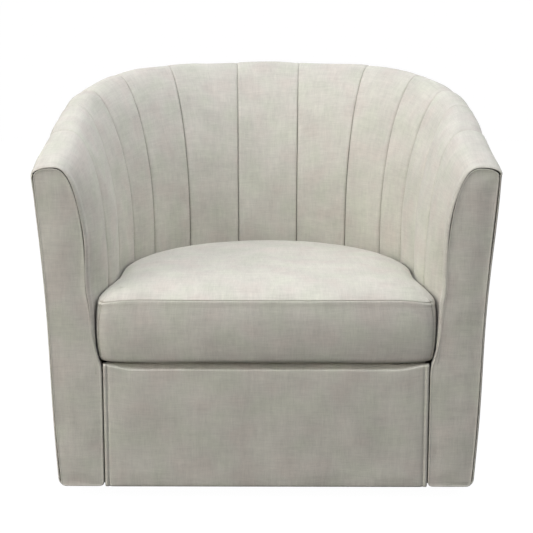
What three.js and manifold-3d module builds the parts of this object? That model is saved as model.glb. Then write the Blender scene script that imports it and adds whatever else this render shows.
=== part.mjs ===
// Swivel barrel chair with a channelled back and a loose seat cushion.
// Millimetres, +Z up. The sitter faces -Y, the swivel axis is the Z axis and the floor is at zero.

import * as THREE from 'three';
import { mergeVertices } from 'three/addons/utils/BufferGeometryUtils.js';
import Module from 'manifold-3d';

const wasm = await Module();
wasm.setup();

// Overall sizes
const overallWidth = 850;
const bodyDepth = 750; // from the front of the arm facings to the back of the rim
const cushionOverhang = 12; // how far the seat cushion stands out in front of the facings
const backEdgeHeight = 805; // outer edge of the rim at the middle of the back
const armEdgeHeight = 613; // outer edge of the rim at the front of the arms
const rimLevelReach = 179; // rim length from the middle of the back before it starts to fall
const rimRampReach = 546; // rim length at which it falls at its full slope
const seatHeight = 400; // where the cushion's top edge meets the channels

// Clearances
const seatGap = 0.3; // between pieces that rest on each other
const runningGap = 0.3; // between pieces that turn on each other
const cutOverrun = 5; // how far a cutter passes the faces that it cuts

// Plan of the tub: straight arms and a round back, outside and inside
const footSideInset = 36; // of the hem inside the rim's outer edge, at the arms
const footBackInset = 70; // and at the middle of the back
const armThickness = 125; // from the rim's outer edge in to the seams at seat height
const backThickness = 205;
const footWidth = overallWidth - 2 * footSideInset; // outside, at the hem
const footDepth = bodyDepth - footBackInset;
const seatWidth = overallWidth - 2 * armThickness; // inside, between the seams at seat height
const seatDepth = bodyDepth - backThickness;
const armFlare = 30; // how far the inside arm opens out to meet its facing
const armFlareDepth = 150;

// Section of the padded wall
const crestInset = 35; // from the rim's outer edge in to its crest
const crestRise = 11; // from the rim's outer edge up to its crest, at a seam
const sweepHeight = 450; // up to here the inside face is upright, and then it sweeps out to the crest
const sweepPower = 2.1; // how late the sweep starts
const sweepRoundShare = 0.7; // and how round it ends: less is rounder
const channelBulge = 6;
const channelThickness = 26;
const crestThickness = 14;
const edgeThickness = 8;
const edgeBackRise = 3; // of the padding's back corner above the rim's outer edge
const seamGap = 0.3;
// The seams between the channels, at the seat and on the rim, as shares of one side of the tub
const seatSeamShares = [0.095, 0.263, 0.41, 0.528, 0.69, 0.888];
const rimSeamShares = [0.082, 0.274, 0.4375, 0.565, 0.665, 0.825];
const wallStepShare = 0.1585; // of one side of the tub, between the stations of its frame
const bulgePlaceShares = [0, 0.15, 0.38, 0.62, 0.85, 1];
const bulgeHeightShares = [0, 0.6, 0.97, 0.97, 0.6, 0];
const sweepRiseShares = [0, 0.22, 0.42, 0.6, 0.75, 0.86, 0.94, 1]; // stations up the sweep
const crestSteps = 3;

// Arm facings, apron and outside covers
const facingDepth = 22;
const facingRound = 6;
const hemRadius = 15;
const facingCrestRise = 17;
const apronLap = 3.7; // how far the apron reaches past the seams at seat height, each side
const apronWidth = seatWidth + 2 * apronLap;
const apronHeight = 261;
const apronSideGap = 0.6;
const sillHeight = 235; // below this the facing's inner edge is upright
const sillPlaceShares = [[0.8, 0.82], [0.61, 0.5], [0.3, 0.24], [0.03, 0.12], [0, 0]];
const coverThickness = 6;
const coverGap = 0.9; // between the faceted covers and the frame inside them
const backSeamShare = 0.396; // where the outside back cover meets the outside arm covers

// Plywood frame
const plyThickness = 18;
const railDepth = 60;
const topRailHeight = 60;
const topRailThickness = 20;
const topRailDrop = 25; // below the crest at a seam
const seatFrameTop = 243;
const seatLip = 30; // how far the seat frame reaches inside the channels' seams
const studWidth = 45;
const studThickness = 20;
const studShares = [-0.6, -0.24, 0.24, 0.6];
const hemDepth = 1.9; // how far the covers hang below the bottom frame
const dustCoverThickness = 1.2;
const dustCoverHole = 464;
const swivelBoardWidth = 80;

// Springs and deck
const springCount = 5;
const springSpacing = seatWidth / (springCount + 1);
const springWire = 4;
const springAmplitude = 22;
const springPitch = 56;
const springSides = 4;
const springStepsPerWave = 6;
const springLead = 20;
const springEndGap = 4; // from a spring's back end to the channels
const deckThickness = 18.4;
const deckSideGap = 1;

// Seat cushion
const cushionHeight = 119.7; // from its underside to the top seam
const cushionCrown = 24; // from the top seam up to the middle
const cushionBackRise = 18; // how much higher its top seam is at the back than at the front
const cushionSideGap = 1.8;
const cushionFrontFlare = 14; // how much wider it is at its front corners than between the arms
const cushionFlareDepth = 150;
const cushionCorner = 26;
const cushionFrontBow = 5;
const cushionDrawIn = 3;
const cushionWall = 3;
const cushionOutlineSteps = 18; // points round each half of its outline
const zipLength = 300;
const zipSlot = 3;
// Each ring of the cushion: how far it shrinks, its rise up the sides and its rise up the crown
const cushionRingShares = [
  [0.045, 0, 0], [0.012, 0.06, 0], [0, 0.24, 0], [0, 0.76, 0], [0.008, 0.95, 0], [0.017, 1, 0],
  [0.05, 1, 0.34], [0.13, 1, 0.64], [0.28, 1, 0.86], [0.52, 1, 0.97], [0.82, 1, 1],
];

// Swivel bearing, riser, base and glides
const plateWidth = 305;
const plateCorner = 20;
const plateThickness = 2;
const bearingHeight = 14;
const raceRadius = 110;
const ballRadius = 4;
const ballCount = 18;
const ballSides = 6;
const ballRings = 4;
const raceHalfAngle = 50; // degrees of the ball's underside that the race holds
const raceSteps = 3;
const raceSides = 3 * ballCount;
const cageThickness = 1.5;
const cageWidth = 16;
const rivetRadius = 9;
const rivetBore = 6;
const rivetFlange = 4;
const rivetLip = 1.5;
const screwPlace = 130; // of each screw and bolt from the axis, along X and along Y
const screwShank = 3;
const screwHead = 6.5;
const screwHeadHeight = 2.5;
const screwPoint = 4;
const baseScrewLength = 22;
const frameBoltLength = 16;
const riserThickness = 10;
const baseRadius = 250;
const baseThickness = 15;
const baseChamfer = 3;
const glideCount = 6;
const glideCircle = 222;
const glideRadius = 13;
const glideHeight = 5;
const glideChamfer = 1.5;
const glidePin = 1.5;
const glidePinLength = 8;
const holeSides = 12;
const roundSides = 36;

// Levels that follow from the sizes above
const frontY = -(bodyDepth - cushionOverhang) / 2;
const wallFrontY = frontY + facingDepth + seatGap;
const baseBottomZ = glideHeight + seatGap;
const baseTopZ = baseBottomZ + baseThickness;
const riserBottomZ = baseTopZ + seatGap;
const riserTopZ = riserBottomZ + riserThickness;
const bearingZ = riserTopZ + seatGap;
const boardBottomZ = bearingZ + bearingHeight + seatGap;
const bottomFrameTopZ = boardBottomZ - seatGap;
const bottomFrameZ = bottomFrameTopZ - plyThickness;
const hemZ = bottomFrameZ - hemDepth;
const seatFrameZ = seatFrameTop - plyThickness;
const frameInset = coverThickness + coverGap; // of the frame inside the outer face
const deckBottomZ = seatFrameTop + seatGap + springWire + seatGap;
const deckTopZ = deckBottomZ + deckThickness;
const cushionBottomZ = deckTopZ + seatGap;
const ballZ = bearingZ + bearingHeight / 2;

// Materials
const fabric = new THREE.MeshStandardMaterial({ color: 0xcfcbc0, roughness: 0.95 });
const foam = new THREE.MeshStandardMaterial({ color: 0xe8dfb8, roughness: 0.9 });
const plywood = new THREE.MeshStandardMaterial({ color: 0xc9a26c, roughness: 0.7 });
const steel = new THREE.MeshStandardMaterial({ color: 0xa5a8ab, roughness: 0.4, metalness: 0.9 });
const blackBoard = new THREE.MeshStandardMaterial({ color: 0x1c1b1a, roughness: 0.6 });
const blackCloth = new THREE.MeshStandardMaterial({ color: 0x232323, roughness: 1 });
const nylon = new THREE.MeshStandardMaterial({ color: 0x2b2b2d, roughness: 0.6 });

const chair = new THREE.Group();

function addPiece(name, geometry, material) {
  const mesh = new THREE.Mesh(geometry, material);
  mesh.name = name;
  chair.add(mesh);
  return mesh;
}

// Geometry helpers

function signedVolume(positions, indices) {
  const corners = [new THREE.Vector3(), new THREE.Vector3(), new THREE.Vector3()];
  let volume = 0;
  for (let i = 0; i < indices.length; i += 3) {
    corners.forEach((corner, k) => corner.fromArray(positions, 3 * indices[i + k]));
    volume += corners[0].dot(corners[1].clone().cross(corners[2]));
  }
  return volume;
}

function solidGeometry(positions, indices) {
  if (signedVolume(positions, indices) < 0) {
    indices.reverse();
  }
  const geometry = new THREE.BufferGeometry();
  geometry.setAttribute('position', new THREE.Float32BufferAttribute(positions, 3));
  geometry.setIndex(indices);
  return geometry;
}

// Triangles that close a ring of points, wound the way the ring runs
function capTriangles(ring) {
  const normal = new THREE.Vector3();
  ring.forEach((point, i) => normal.add(point.clone().cross(ring[(i + 1) % ring.length])));
  const size = normal.toArray().map(Math.abs);
  const drop = size.indexOf(Math.max(...size));
  const flat = ring.map((point) => {
    const kept = point.toArray().filter((_, axis) => axis !== drop);
    return new THREE.Vector2(...kept);
  });
  const turn = Math.sign(THREE.ShapeUtils.area(flat));
  return THREE.ShapeUtils.triangulateShape(flat, []).map((face) => {
    const same = Math.sign(THREE.ShapeUtils.area(face.map((i) => flat[i]))) === turn;
    return same ? face : [face[0], face[2], face[1]];
  });
}

// Triangles that close a ring whose second half runs back beside its first half
function ribbonTriangles(ring) {
  const last = ring.length - 1;
  return Array.from({ length: ring.length / 2 - 1 }, (_, i) => [
    [i, i + 1, last - i - 1], [i, last - i - 1, last - i],
  ]).flat();
}

// A closed solid through rings that all have the same number of points
function loft(rings, capWith = capTriangles) {
  const count = rings[0].length;
  const last = (rings.length - 1) * count;
  const indices = [];
  for (let base = 0; base < last; base += count) {
    for (let i = 0; i < count; i++) {
      const a = base + i;
      const b = base + (i + 1) % count;
      indices.push(a, b, b + count, a, b + count, a + count);
    }
  }
  capWith(rings[0]).forEach(([a, b, c]) => indices.push(c, b, a));
  capWith(rings.at(-1)).forEach(([a, b, c]) => indices.push(last + a, last + b, last + c));
  return solidGeometry(rings.flat().flatMap((point) => point.toArray()), indices);
}

function toSolid(geometry) {
  const bare = geometry.clone();
  bare.deleteAttribute('normal');
  bare.deleteAttribute('uv');
  const merged = mergeVertices(bare);
  return new wasm.Manifold(new wasm.Mesh({
    numProp: 3,
    vertProperties: Float32Array.from(merged.getAttribute('position').array),
    triVerts: Uint32Array.from(merged.index.array),
  }));
}

function toGeometry(solid) {
  const mesh = solid.getMesh();
  const geometry = new THREE.BufferGeometry();
  geometry.setAttribute('position', new THREE.BufferAttribute(mesh.vertProperties, 3));
  geometry.setIndex(new THREE.BufferAttribute(mesh.triVerts, 1));
  return geometry;
}

function joined(first, ...others) {
  return toGeometry(others.reduce((solid, other) => solid.add(toSolid(other)), toSolid(first)));
}

function cut(first, ...cutters) {
  return toGeometry(cutters.reduce((solid, tool) => solid.subtract(toSolid(tool)), toSolid(first)));
}

function extrudeUp(shape, bottomZ, topZ) {
  const geometry = new THREE.ExtrudeGeometry(shape, { depth: topZ - bottomZ, bevelEnabled: false });
  return geometry.translate(0, 0, bottomZ);
}

function wound(points, clockwise) {
  const flat = points.map((point) => new THREE.Vector2(point.x, point.y));
  return THREE.ShapeUtils.isClockWise(flat) === clockwise ? flat : flat.reverse();
}

function shapeThrough(points, holes = []) {
  const shape = new THREE.Shape(wound(points, false));
  shape.holes = holes.map((hole) => new THREE.Path(wound(hole, true)));
  return shape;
}

// A solid turned about an upright axis at (x, y), from a closed profile of [radius, z]
function turned(profile, x, y, sides) {
  const points = wound(profile.map(([radius, z]) => ({ x: radius, y: z })), false);
  const geometry = new THREE.LatheGeometry([...points, points[0]], sides);
  return geometry.rotateX(Math.PI / 2).translate(x, y, 0);
}

function cylinder(radius, bottomZ, topZ, x, y, sides = holeSides) {
  return turned([[0, bottomZ], [radius, bottomZ], [radius, topZ], [0, topZ]], x, y, sides);
}

function roundedSquare(width, corner) {
  const inner = width / 2 - corner;
  const shape = new THREE.Shape();
  shape.absarc(inner, inner, corner, 0, Math.PI / 2);
  shape.absarc(-inner, inner, corner, Math.PI / 2, Math.PI);
  shape.absarc(-inner, -inner, corner, Math.PI, 1.5 * Math.PI);
  shape.absarc(inner, -inner, corner, 1.5 * Math.PI, 2 * Math.PI);
  return shapeThrough(shape.getPoints(4).slice(0, -1));
}

// Plan curves. A share runs from -1 at the left arm's front, by 0 at the middle of the back, to
// 1 at the right arm's front, and is a share of the curve's length from back to front.

function tubPlan(width, depth, flare = 0) {
  const radius = width / 2;
  return { radius, roundY: frontY + depth - radius, flare };
}

const footPlan = tubPlan(footWidth, footDepth);
const rimPlan = tubPlan(overallWidth, bodyDepth);
const seatPlan = tubPlan(seatWidth, seatDepth, armFlare);

function planLength(plan) {
  return plan.radius * Math.PI / 2 + plan.roundY - wallFrontY;
}

function planPoint(plan, share) {
  const along = Math.abs(share) * planLength(plan);
  const arc = plan.radius * Math.PI / 2;
  const angle = Math.min(along, arc) / plan.radius;
  const y = plan.roundY + plan.radius * Math.cos(angle) - Math.max(along - arc, 0);
  const flareStart = frontY + armFlareDepth;
  const flared = Math.max(flareStart - y, 0) / (flareStart - wallFrontY);
  const x = plan.radius * Math.sin(angle) + plan.flare * flared ** 2;
  return new THREE.Vector3(Math.sign(share) * x, y, 0);
}

// Height of the rim's outer edge at a distance along it from the middle of the back
const rimLength = planLength(rimPlan);

function edgeHeightAt(along) {
  const whole = rimLength + wallFrontY - frontY;
  const slope = (backEdgeHeight - armEdgeHeight) / (whole - (rimLevelReach + rimRampReach) / 2);
  const ramp = rimRampReach - rimLevelReach;
  const past = THREE.MathUtils.clamp(along - rimLevelReach, 0, ramp);
  return backEdgeHeight - slope * (past ** 2 / (2 * ramp) + Math.max(along - rimRampReach, 0));
}

function edgeZ(share) {
  return edgeHeightAt(Math.abs(share) * rimLength);
}

function outerPoint(share, z) {
  const up = Math.min((z - hemZ) / (edgeZ(share) - hemZ), 1);
  return planPoint(footPlan, share).lerp(planPoint(rimPlan, share), up).setZ(z);
}

// The rim's crest, at the inset from its outer edge, square to it
function crestPoint(share) {
  const angle = Math.min(Math.abs(share) * rimLength / rimPlan.radius, Math.PI / 2);
  const outward = new THREE.Vector3(Math.sign(share) * Math.sin(angle), Math.cos(angle), 0);
  return planPoint(rimPlan, share).addScaledVector(outward, -crestInset);
}

// How far out the inside face has swept at a share of its rise
function sweptShare(rise) {
  return 1 - (1 - rise ** sweepPower) ** sweepRoundShare;
}

function innerPoint(share, z) {
  const crestZ = edgeZ(share) + crestRise;
  const rise = THREE.MathUtils.clamp((z - sweepHeight) / (crestZ - sweepHeight), 0, 1);
  return planPoint(seatPlan, share).lerp(crestPoint(share), sweptShare(rise)).setZ(z);
}

// A point inside the wall, at an inset from its outer face
function wallPoint(share, z, inset) {
  const outer = outerPoint(share, z);
  const inward = innerPoint(share, z).sub(outer).normalize();
  return outer.addScaledVector(inward, inset);
}

// Shares at even steps from one side to the other
function tubShares(from, to, parts) {
  const step = wallStepShare / parts;
  const shares = [from];
  for (let i = Math.ceil(from / step + 0.01); i * step < to - step / 4; i++) {
    shares.push(i * step);
  }
  return [...shares, to];
}

// The channels

// Points up the padded face, each with the way it faces and the padding's thickness
function wallProfile(seatShare, rimShare) {
  const rim = planPoint(rimPlan, rimShare);
  const crest = crestPoint(rimShare);
  const seat = planPoint(seatPlan, seatShare);
  const edgeward = rim.clone().sub(crest).normalize();
  const inward = seat.clone().sub(crest).normalize();
  const up = new THREE.Vector3(0, 0, 1);
  const crestZ = edgeZ(rimShare) + crestRise;
  const foot = seat.clone().setZ(seatFrameTop + seatGap);
  const stations = [{ point: foot, normal: inward, thickness: channelThickness }];
  for (const rise of sweepRiseShares) {
    const swept = sweptShare(rise);
    const point = seat.clone().lerp(crest, swept);
    point.setZ(THREE.MathUtils.lerp(sweepHeight, crestZ, rise));
    const climb = (crestZ - sweepHeight) * (1 - rise ** sweepPower) ** (1 - sweepRoundShare);
    const spread = seat.distanceTo(crest) * sweepPower * sweepRoundShare * rise ** (sweepPower - 1);
    const normal = inward.clone().multiplyScalar(climb).addScaledVector(up, spread).normalize();
    const thickness = THREE.MathUtils.lerp(channelThickness, crestThickness, swept);
    stations.push({ point, normal, thickness });
  }
  for (let i = 1; i <= crestSteps; i++) {
    const angle = (i / crestSteps) * Math.PI / 2;
    const inset = crestInset * (1 - Math.sin(angle));
    const z = crestZ - crestRise * (1 - Math.cos(angle));
    const normal = edgeward.clone().multiplyScalar(crestRise * Math.sin(angle));
    normal.addScaledVector(up, crestInset * Math.cos(angle)).normalize();
    const thickness = THREE.MathUtils.lerp(crestThickness, edgeThickness, i / crestSteps);
    const bulgeShare = Math.cos(angle);
    const backRise = edgeBackRise * (i / crestSteps);
    const point = rim.clone().addScaledVector(edgeward, -inset).setZ(z);
    stations.push({ point, normal, thickness, bulgeShare, backRise });
  }
  return stations;
}

// from and to are the channel's edges, each as its share at the seat and its share on the rim
function channelPad(from, to, bulges) {
  const fronts = bulgePlaceShares.map((place) => wallProfile(
    THREE.MathUtils.lerp(from[0], to[0], place),
    THREE.MathUtils.lerp(from[1], to[1], place),
  ));
  const backs = fronts.toReversed();
  const rings = fronts[0].map((_, station) => [
    ...fronts.map((profile, i) => {
      const { point, normal, bulgeShare = 1 } = profile[station];
      return point.clone().addScaledVector(normal, channelBulge * bulgeShare * bulges[i]);
    }),
    ...backs.map((profile) => {
      const { point, normal, thickness, backRise = 0 } = profile[station];
      return point.clone().addScaledVector(normal, -thickness).add({ x: 0, y: 0, z: backRise });
    }),
  ]);
  return loft(rings, ribbonTriangles);
}

function addChannels() {
  const gapShare = seamGap / (2 * planLength(seatPlan));
  const rightSeams = seatSeamShares.map((share, i) => [share, rimSeamShares[i]]);
  const leftSeams = rightSeams.map((shares) => shares.map((share) => -share)).reverse();
  const seams = [...leftSeams, ...rightSeams];
  for (let i = 0; i <= seams.length; i++) {
    const isLeftEnd = i === 0;
    const isRightEnd = i === seams.length;
    const from = isLeftEnd ? [-1, -1] : seams[i - 1].map((share) => share + gapShare);
    const to = isRightEnd ? [1, 1] : seams[i].map((share) => share - gapShare);
    const bulges = [...bulgeHeightShares];
    if (isLeftEnd) bulges.fill(1, 0, 3);
    if (isRightEnd) bulges.fill(1, 3);
    const number = String(i + 1).padStart(2, '0');
    addPiece(`channel_${number}`, channelPad(from, to, bulges), fabric);
  }
}

// Outside covers, thin and curved, from the hem up to the rim's outer edge
function outsideCover(fromShare, toShare) {
  return loft(tubShares(fromShare, toShare, 4).map((share) => {
    const topZ = edgeZ(share) - seatGap;
    return [
      outerPoint(share, hemZ), outerPoint(share, topZ),
      wallPoint(share, topZ, coverThickness), wallPoint(share, hemZ, coverThickness),
    ];
  }));
}

function addOutsideCovers() {
  const gapShare = seamGap / (2 * planLength(footPlan));
  addPiece('outside_arm_left', outsideCover(-1, -backSeamShare - gapShare), fabric);
  addPiece('outside_back', outsideCover(-backSeamShare + gapShare, backSeamShare - gapShare), fabric);
  addPiece('outside_arm_right', outsideCover(backSeamShare + gapShare, 1), fabric);
}

// Facings and apron: flat pads with a rounded front edge, in the XZ plane

function insetOutline(points, inset) {
  const turn = Math.sign(THREE.ShapeUtils.area(points));
  return points.map((point, i) => {
    const before = points.at(i - 1);
    const after = points[(i + 1) % points.length];
    const first = point.clone().sub(before).normalize();
    const second = after.clone().sub(point).normalize();
    const along = first.clone().add(second).normalize();
    const inward = new THREE.Vector2(-along.y, along.x).multiplyScalar(turn);
    return point.clone().addScaledVector(inward, inset / along.dot(first));
  });
}

// outlineAt gives the outline at a depth behind the front plane
function frontPad(outlineAt) {
  const steps = [
    [facingDepth, 0], [facingRound, 0],
    [facingRound * (1 - Math.SQRT1_2), facingRound * (1 - Math.SQRT1_2)], [0, facingRound],
  ];
  return loft(steps.map(([depth, inset]) => (
    insetOutline(outlineAt(depth), inset).map((p) => new THREE.Vector3(p.x, frontY + depth, p.y))
  )));
}

function facingOutline(depth) {
  const edge = edgeHeightAt(rimLength + wallFrontY - frontY - depth);
  const crestZ = edge + facingCrestRise;
  const rimX = overallWidth / 2;
  const innerX = apronWidth / 2 + apronSideGap;
  const seatX = seatWidth / 2 + armFlare;
  const points = [];
  for (let i = 0; i <= 3; i++) {
    const angle = (i / 3) * Math.PI / 2;
    const footX = footWidth / 2 - hemRadius * (1 - Math.sin(angle));
    points.push(new THREE.Vector2(footX, hemZ + hemRadius * (1 - Math.cos(angle))));
  }
  for (let i = crestSteps; i >= 0; i--) {
    const angle = (i / crestSteps) * Math.PI / 2;
    const inset = crestInset * (1 - Math.sin(angle));
    points.push(new THREE.Vector2(rimX - inset, crestZ - facingCrestRise * (1 - Math.cos(angle))));
  }
  for (const rise of sweepRiseShares.slice(0, -1).reverse()) {
    const x = THREE.MathUtils.lerp(seatX, rimX - crestInset, sweptShare(rise));
    points.push(new THREE.Vector2(x, THREE.MathUtils.lerp(sweepHeight, crestZ, rise)));
  }
  for (const [across, up] of sillPlaceShares) {
    const x = THREE.MathUtils.lerp(innerX, seatX, across);
    points.push(new THREE.Vector2(x, THREE.MathUtils.lerp(sillHeight, seatHeight, up)));
  }
  points.push(new THREE.Vector2(innerX, hemZ));
  return points;
}

function apronOutline() {
  const halfWidth = apronWidth / 2;
  return [
    new THREE.Vector2(-halfWidth, hemZ), new THREE.Vector2(halfWidth, hemZ),
    new THREE.Vector2(halfWidth, apronHeight), new THREE.Vector2(-halfWidth, apronHeight),
  ];
}

function mirroredOutline(outlineAt) {
  return (depth) => outlineAt(depth).map((p) => new THREE.Vector2(-p.x, p.y)).reverse();
}

function addFrontPads() {
  addPiece('arm_facing_right', frontPad(facingOutline), fabric);
  addPiece('arm_facing_left', frontPad(mirroredOutline(facingOutline)), fabric);
  addPiece('front_apron', frontPad(apronOutline), fabric);
}

// Plywood frame

// A U of points made into a D by a straight line across its front
function closedAcross(points, y) {
  const kept = points.filter((point) => point.y > y + seatGap);
  return [kept[0].clone().setY(y), ...kept, kept.at(-1).clone().setY(y)];
}

// The outline of a board inside the covers
function boardOutline(z, inset, frontInset) {
  const points = tubShares(-1, 1, 2).map((share) => wallPoint(share, z, inset));
  return closedAcross(points, wallFrontY + frontInset);
}

// The outline of the seat well, at an inset from the seams at seat height
function wellOutline(inset, frontInset) {
  const plan = { ...seatPlan, flare: 0 };
  const points = tubShares(-1, 1, 2).map((share) => {
    const point = planPoint(plan, share);
    const outward = planPoint(footPlan, share).sub(point).normalize();
    return point.addScaledVector(outward, -inset);
  });
  return closedAcross(points, wallFrontY + frontInset);
}

function bottomFrame() {
  const outside = boardOutline(bottomFrameZ, frameInset, 0);
  const inside = boardOutline(bottomFrameZ, frameInset + railDepth, railDepth);
  return extrudeUp(shapeThrough(outside, [inside]), bottomFrameZ, bottomFrameTopZ);
}

// The bent rail under the rim, or with a clearance the room that it needs
function topRail(clearance = 0) {
  const near = frameInset - clearance;
  const far = frameInset + topRailThickness + clearance;
  return loft(tubShares(-1, 1, 2).map((share) => {
    const top = edgeZ(share) + crestRise - topRailDrop;
    const bottom = top - topRailHeight - Math.min(clearance, seatGap);
    return [
      wallPoint(share, bottom, near), wallPoint(share, top, near),
      wallPoint(share, top, far), wallPoint(share, bottom, far),
    ];
  }));
}

// A stud up the wall, or its room with a clearance and an overrun through the wall's outer face
function studGeometry(share, clearance = 0, overrun = 0) {
  const halfShare = (studWidth / 2 + clearance) / planLength(footPlan);
  const ringAt = (zAt) => [share - halfShare, share + halfShare].flatMap((at, i) => {
    const near = wallPoint(at, zAt(at), frameInset - overrun);
    const far = wallPoint(at, zAt(at), frameInset + studThickness + clearance);
    return i === 0 ? [near, far] : [far, near];
  });
  const inRail = (at) => edgeZ(at) + crestRise - topRailDrop - topRailHeight / 2;
  const levels = [bottomFrameTopZ + seatGap, seatFrameZ, seatFrameTop];
  return loft([...levels.map((z) => ringAt(() => z)), ringAt(inRail)]);
}

function armPostGeometry(side, clearance = 0, overrun = 0) {
  const front = wallFrontY - overrun;
  const back = wallFrontY + plyThickness + clearance;
  const topZ = edgeZ(1) + crestRise - topRailDrop - topRailHeight - seatGap;
  const ringAt = (z) => {
    const outerX = wallPoint(1, z, frameInset - overrun).x;
    const innerX = innerPoint(1, z).x + channelThickness + seatGap - clearance;
    return [[outerX, front], [outerX, back], [innerX, back], [innerX, front]].map(([x, y]) => (
      new THREE.Vector3(side * x, y, z)
    ));
  };
  const levels = [bottomFrameTopZ + seatGap, seatFrameZ, seatFrameTop, seatHeight, topZ];
  return loft(levels.map(ringAt));
}

function seatFrame() {
  const outside = boardOutline(seatFrameZ, frameInset, 0);
  const shape = shapeThrough(outside, [wellOutline(seatLip, railDepth)]);
  const rooms = [
    ...studShares.map((share) => studGeometry(share, seatGap, cutOverrun)),
    ...[-1, 1].map((side) => armPostGeometry(side, seatGap, cutOverrun)),
  ];
  return cut(extrudeUp(shape, seatFrameZ, seatFrameTop), ...rooms);
}

function frontRail() {
  const halfWidth = innerPoint(1, seatFrameZ).x + channelThickness;
  const shape = shapeThrough([
    { x: -halfWidth, y: wallFrontY }, { x: halfWidth, y: wallFrontY },
    { x: halfWidth, y: wallFrontY + plyThickness }, { x: -halfWidth, y: wallFrontY + plyThickness },
  ]);
  return extrudeUp(shape, bottomFrameTopZ + seatGap, seatFrameZ - seatGap);
}

function swivelBoard(side) {
  const inner = screwPlace - swivelBoardWidth / 2;
  const outer = screwPlace + swivelBoardWidth / 2;
  const frontEnd = wallFrontY + plyThickness + seatGap;
  const footReach = footPlan.radius - frameInset - railDepth / 2;
  const backEnd = (x) => footPlan.roundY + Math.sqrt(footReach ** 2 - x ** 2);
  const shape = shapeThrough([
    { x: side * inner, y: frontEnd }, { x: side * outer, y: frontEnd },
    { x: side * outer, y: backEnd(outer) }, { x: side * inner, y: backEnd(inner) },
  ]);
  const board = extrudeUp(shape, boardBottomZ, boardBottomZ + plyThickness);
  const holeTop = boardBottomZ + frameBoltLength;
  const holes = [-screwPlace, screwPlace].map((y) => (
    cylinder(screwShank + seatGap, boardBottomZ - cutOverrun, holeTop, side * screwPlace, y)
  ));
  return cut(board, ...holes);
}

function dustCover() {
  const outside = boardOutline(hemZ, frameInset + seatGap, 0);
  const hole = new THREE.EllipseCurve(0, 0, dustCoverHole / 2, dustCoverHole / 2)
    .getPoints(roundSides).slice(0, -1);
  const topZ = bottomFrameZ - seatGap;
  return extrudeUp(shapeThrough(outside, [hole]), topZ - dustCoverThickness, topZ);
}

function addFrame() {
  addPiece('bottom_frame', bottomFrame(), plywood);
  addPiece('seat_frame', seatFrame(), plywood);
  addPiece('top_rail', topRail(), plywood);
  addPiece('front_rail', frontRail(), plywood);
  addPiece('arm_post_left', armPostGeometry(-1), plywood);
  addPiece('arm_post_right', armPostGeometry(1), plywood);
  studShares.forEach((share, i) => {
    const stud = cut(studGeometry(share), topRail(cutOverrun));
    addPiece(`back_stud_${i + 1}`, stud, plywood);
  });
  addPiece('swivel_board_left', swivelBoard(-1), plywood);
  addPiece('swivel_board_right', swivelBoard(1), plywood);
  addPiece('dust_cover', dustCover(), blackCloth);
}

// Springs and deck pad

function sinuousSpring(x) {
  const z = seatFrameTop + seatGap + springWire / 2;
  const start = wallFrontY + railDepth - 2 * springLead;
  const reach = seatPlan.radius - channelBulge - springEndGap;
  const end = seatPlan.roundY + Math.sqrt(reach ** 2 - x ** 2);
  const waves = Math.round((end - start - 2 * springLead) / springPitch);
  const pitch = (end - start - 2 * springLead) / waves;
  const points = [new THREE.Vector3(x, start, z), new THREE.Vector3(x, start + springLead, z)];
  for (let half = 0; half < 2 * waves; half++) {
    const side = half % 2 === 0 ? 1 : -1;
    const y = start + springLead + (half + 0.5) * pitch / 2;
    points.push(new THREE.Vector3(x + side * springAmplitude, y, z));
  }
  points.push(new THREE.Vector3(x, end - springLead, z), new THREE.Vector3(x, end, z));
  const ring = [];
  for (let i = 0; i < springSides; i++) {
    const angle = (i / springSides) * 2 * Math.PI;
    ring.push(new THREE.Vector2(Math.cos(angle), Math.sin(angle)).multiplyScalar(springWire / 2));
  }
  return new THREE.ExtrudeGeometry(new THREE.Shape(ring), {
    steps: springStepsPerWave * (waves + 1),
    extrudePath: new THREE.CatmullRomCurve3(points),
  });
}

function deckPad() {
  const outline = wellOutline(channelBulge + deckSideGap, 0);
  return extrudeUp(shapeThrough(outline), deckBottomZ, deckTopZ);
}

function addSeatDeck() {
  for (let i = 0; i < springCount; i++) {
    const x = (i - (springCount - 1) / 2) * springSpacing;
    addPiece(`seat_spring_${i + 1}`, sinuousSpring(x), steel);
  }
  addPiece('deck_pad', deckPad(), blackCloth);
}

// Seat cushion

const cushionFrontY = frontY - cushionOverhang;
const cushionRadius = seatPlan.radius - channelBulge - cushionSideGap;
const cushionBackY = seatPlan.roundY + cushionRadius;

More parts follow.
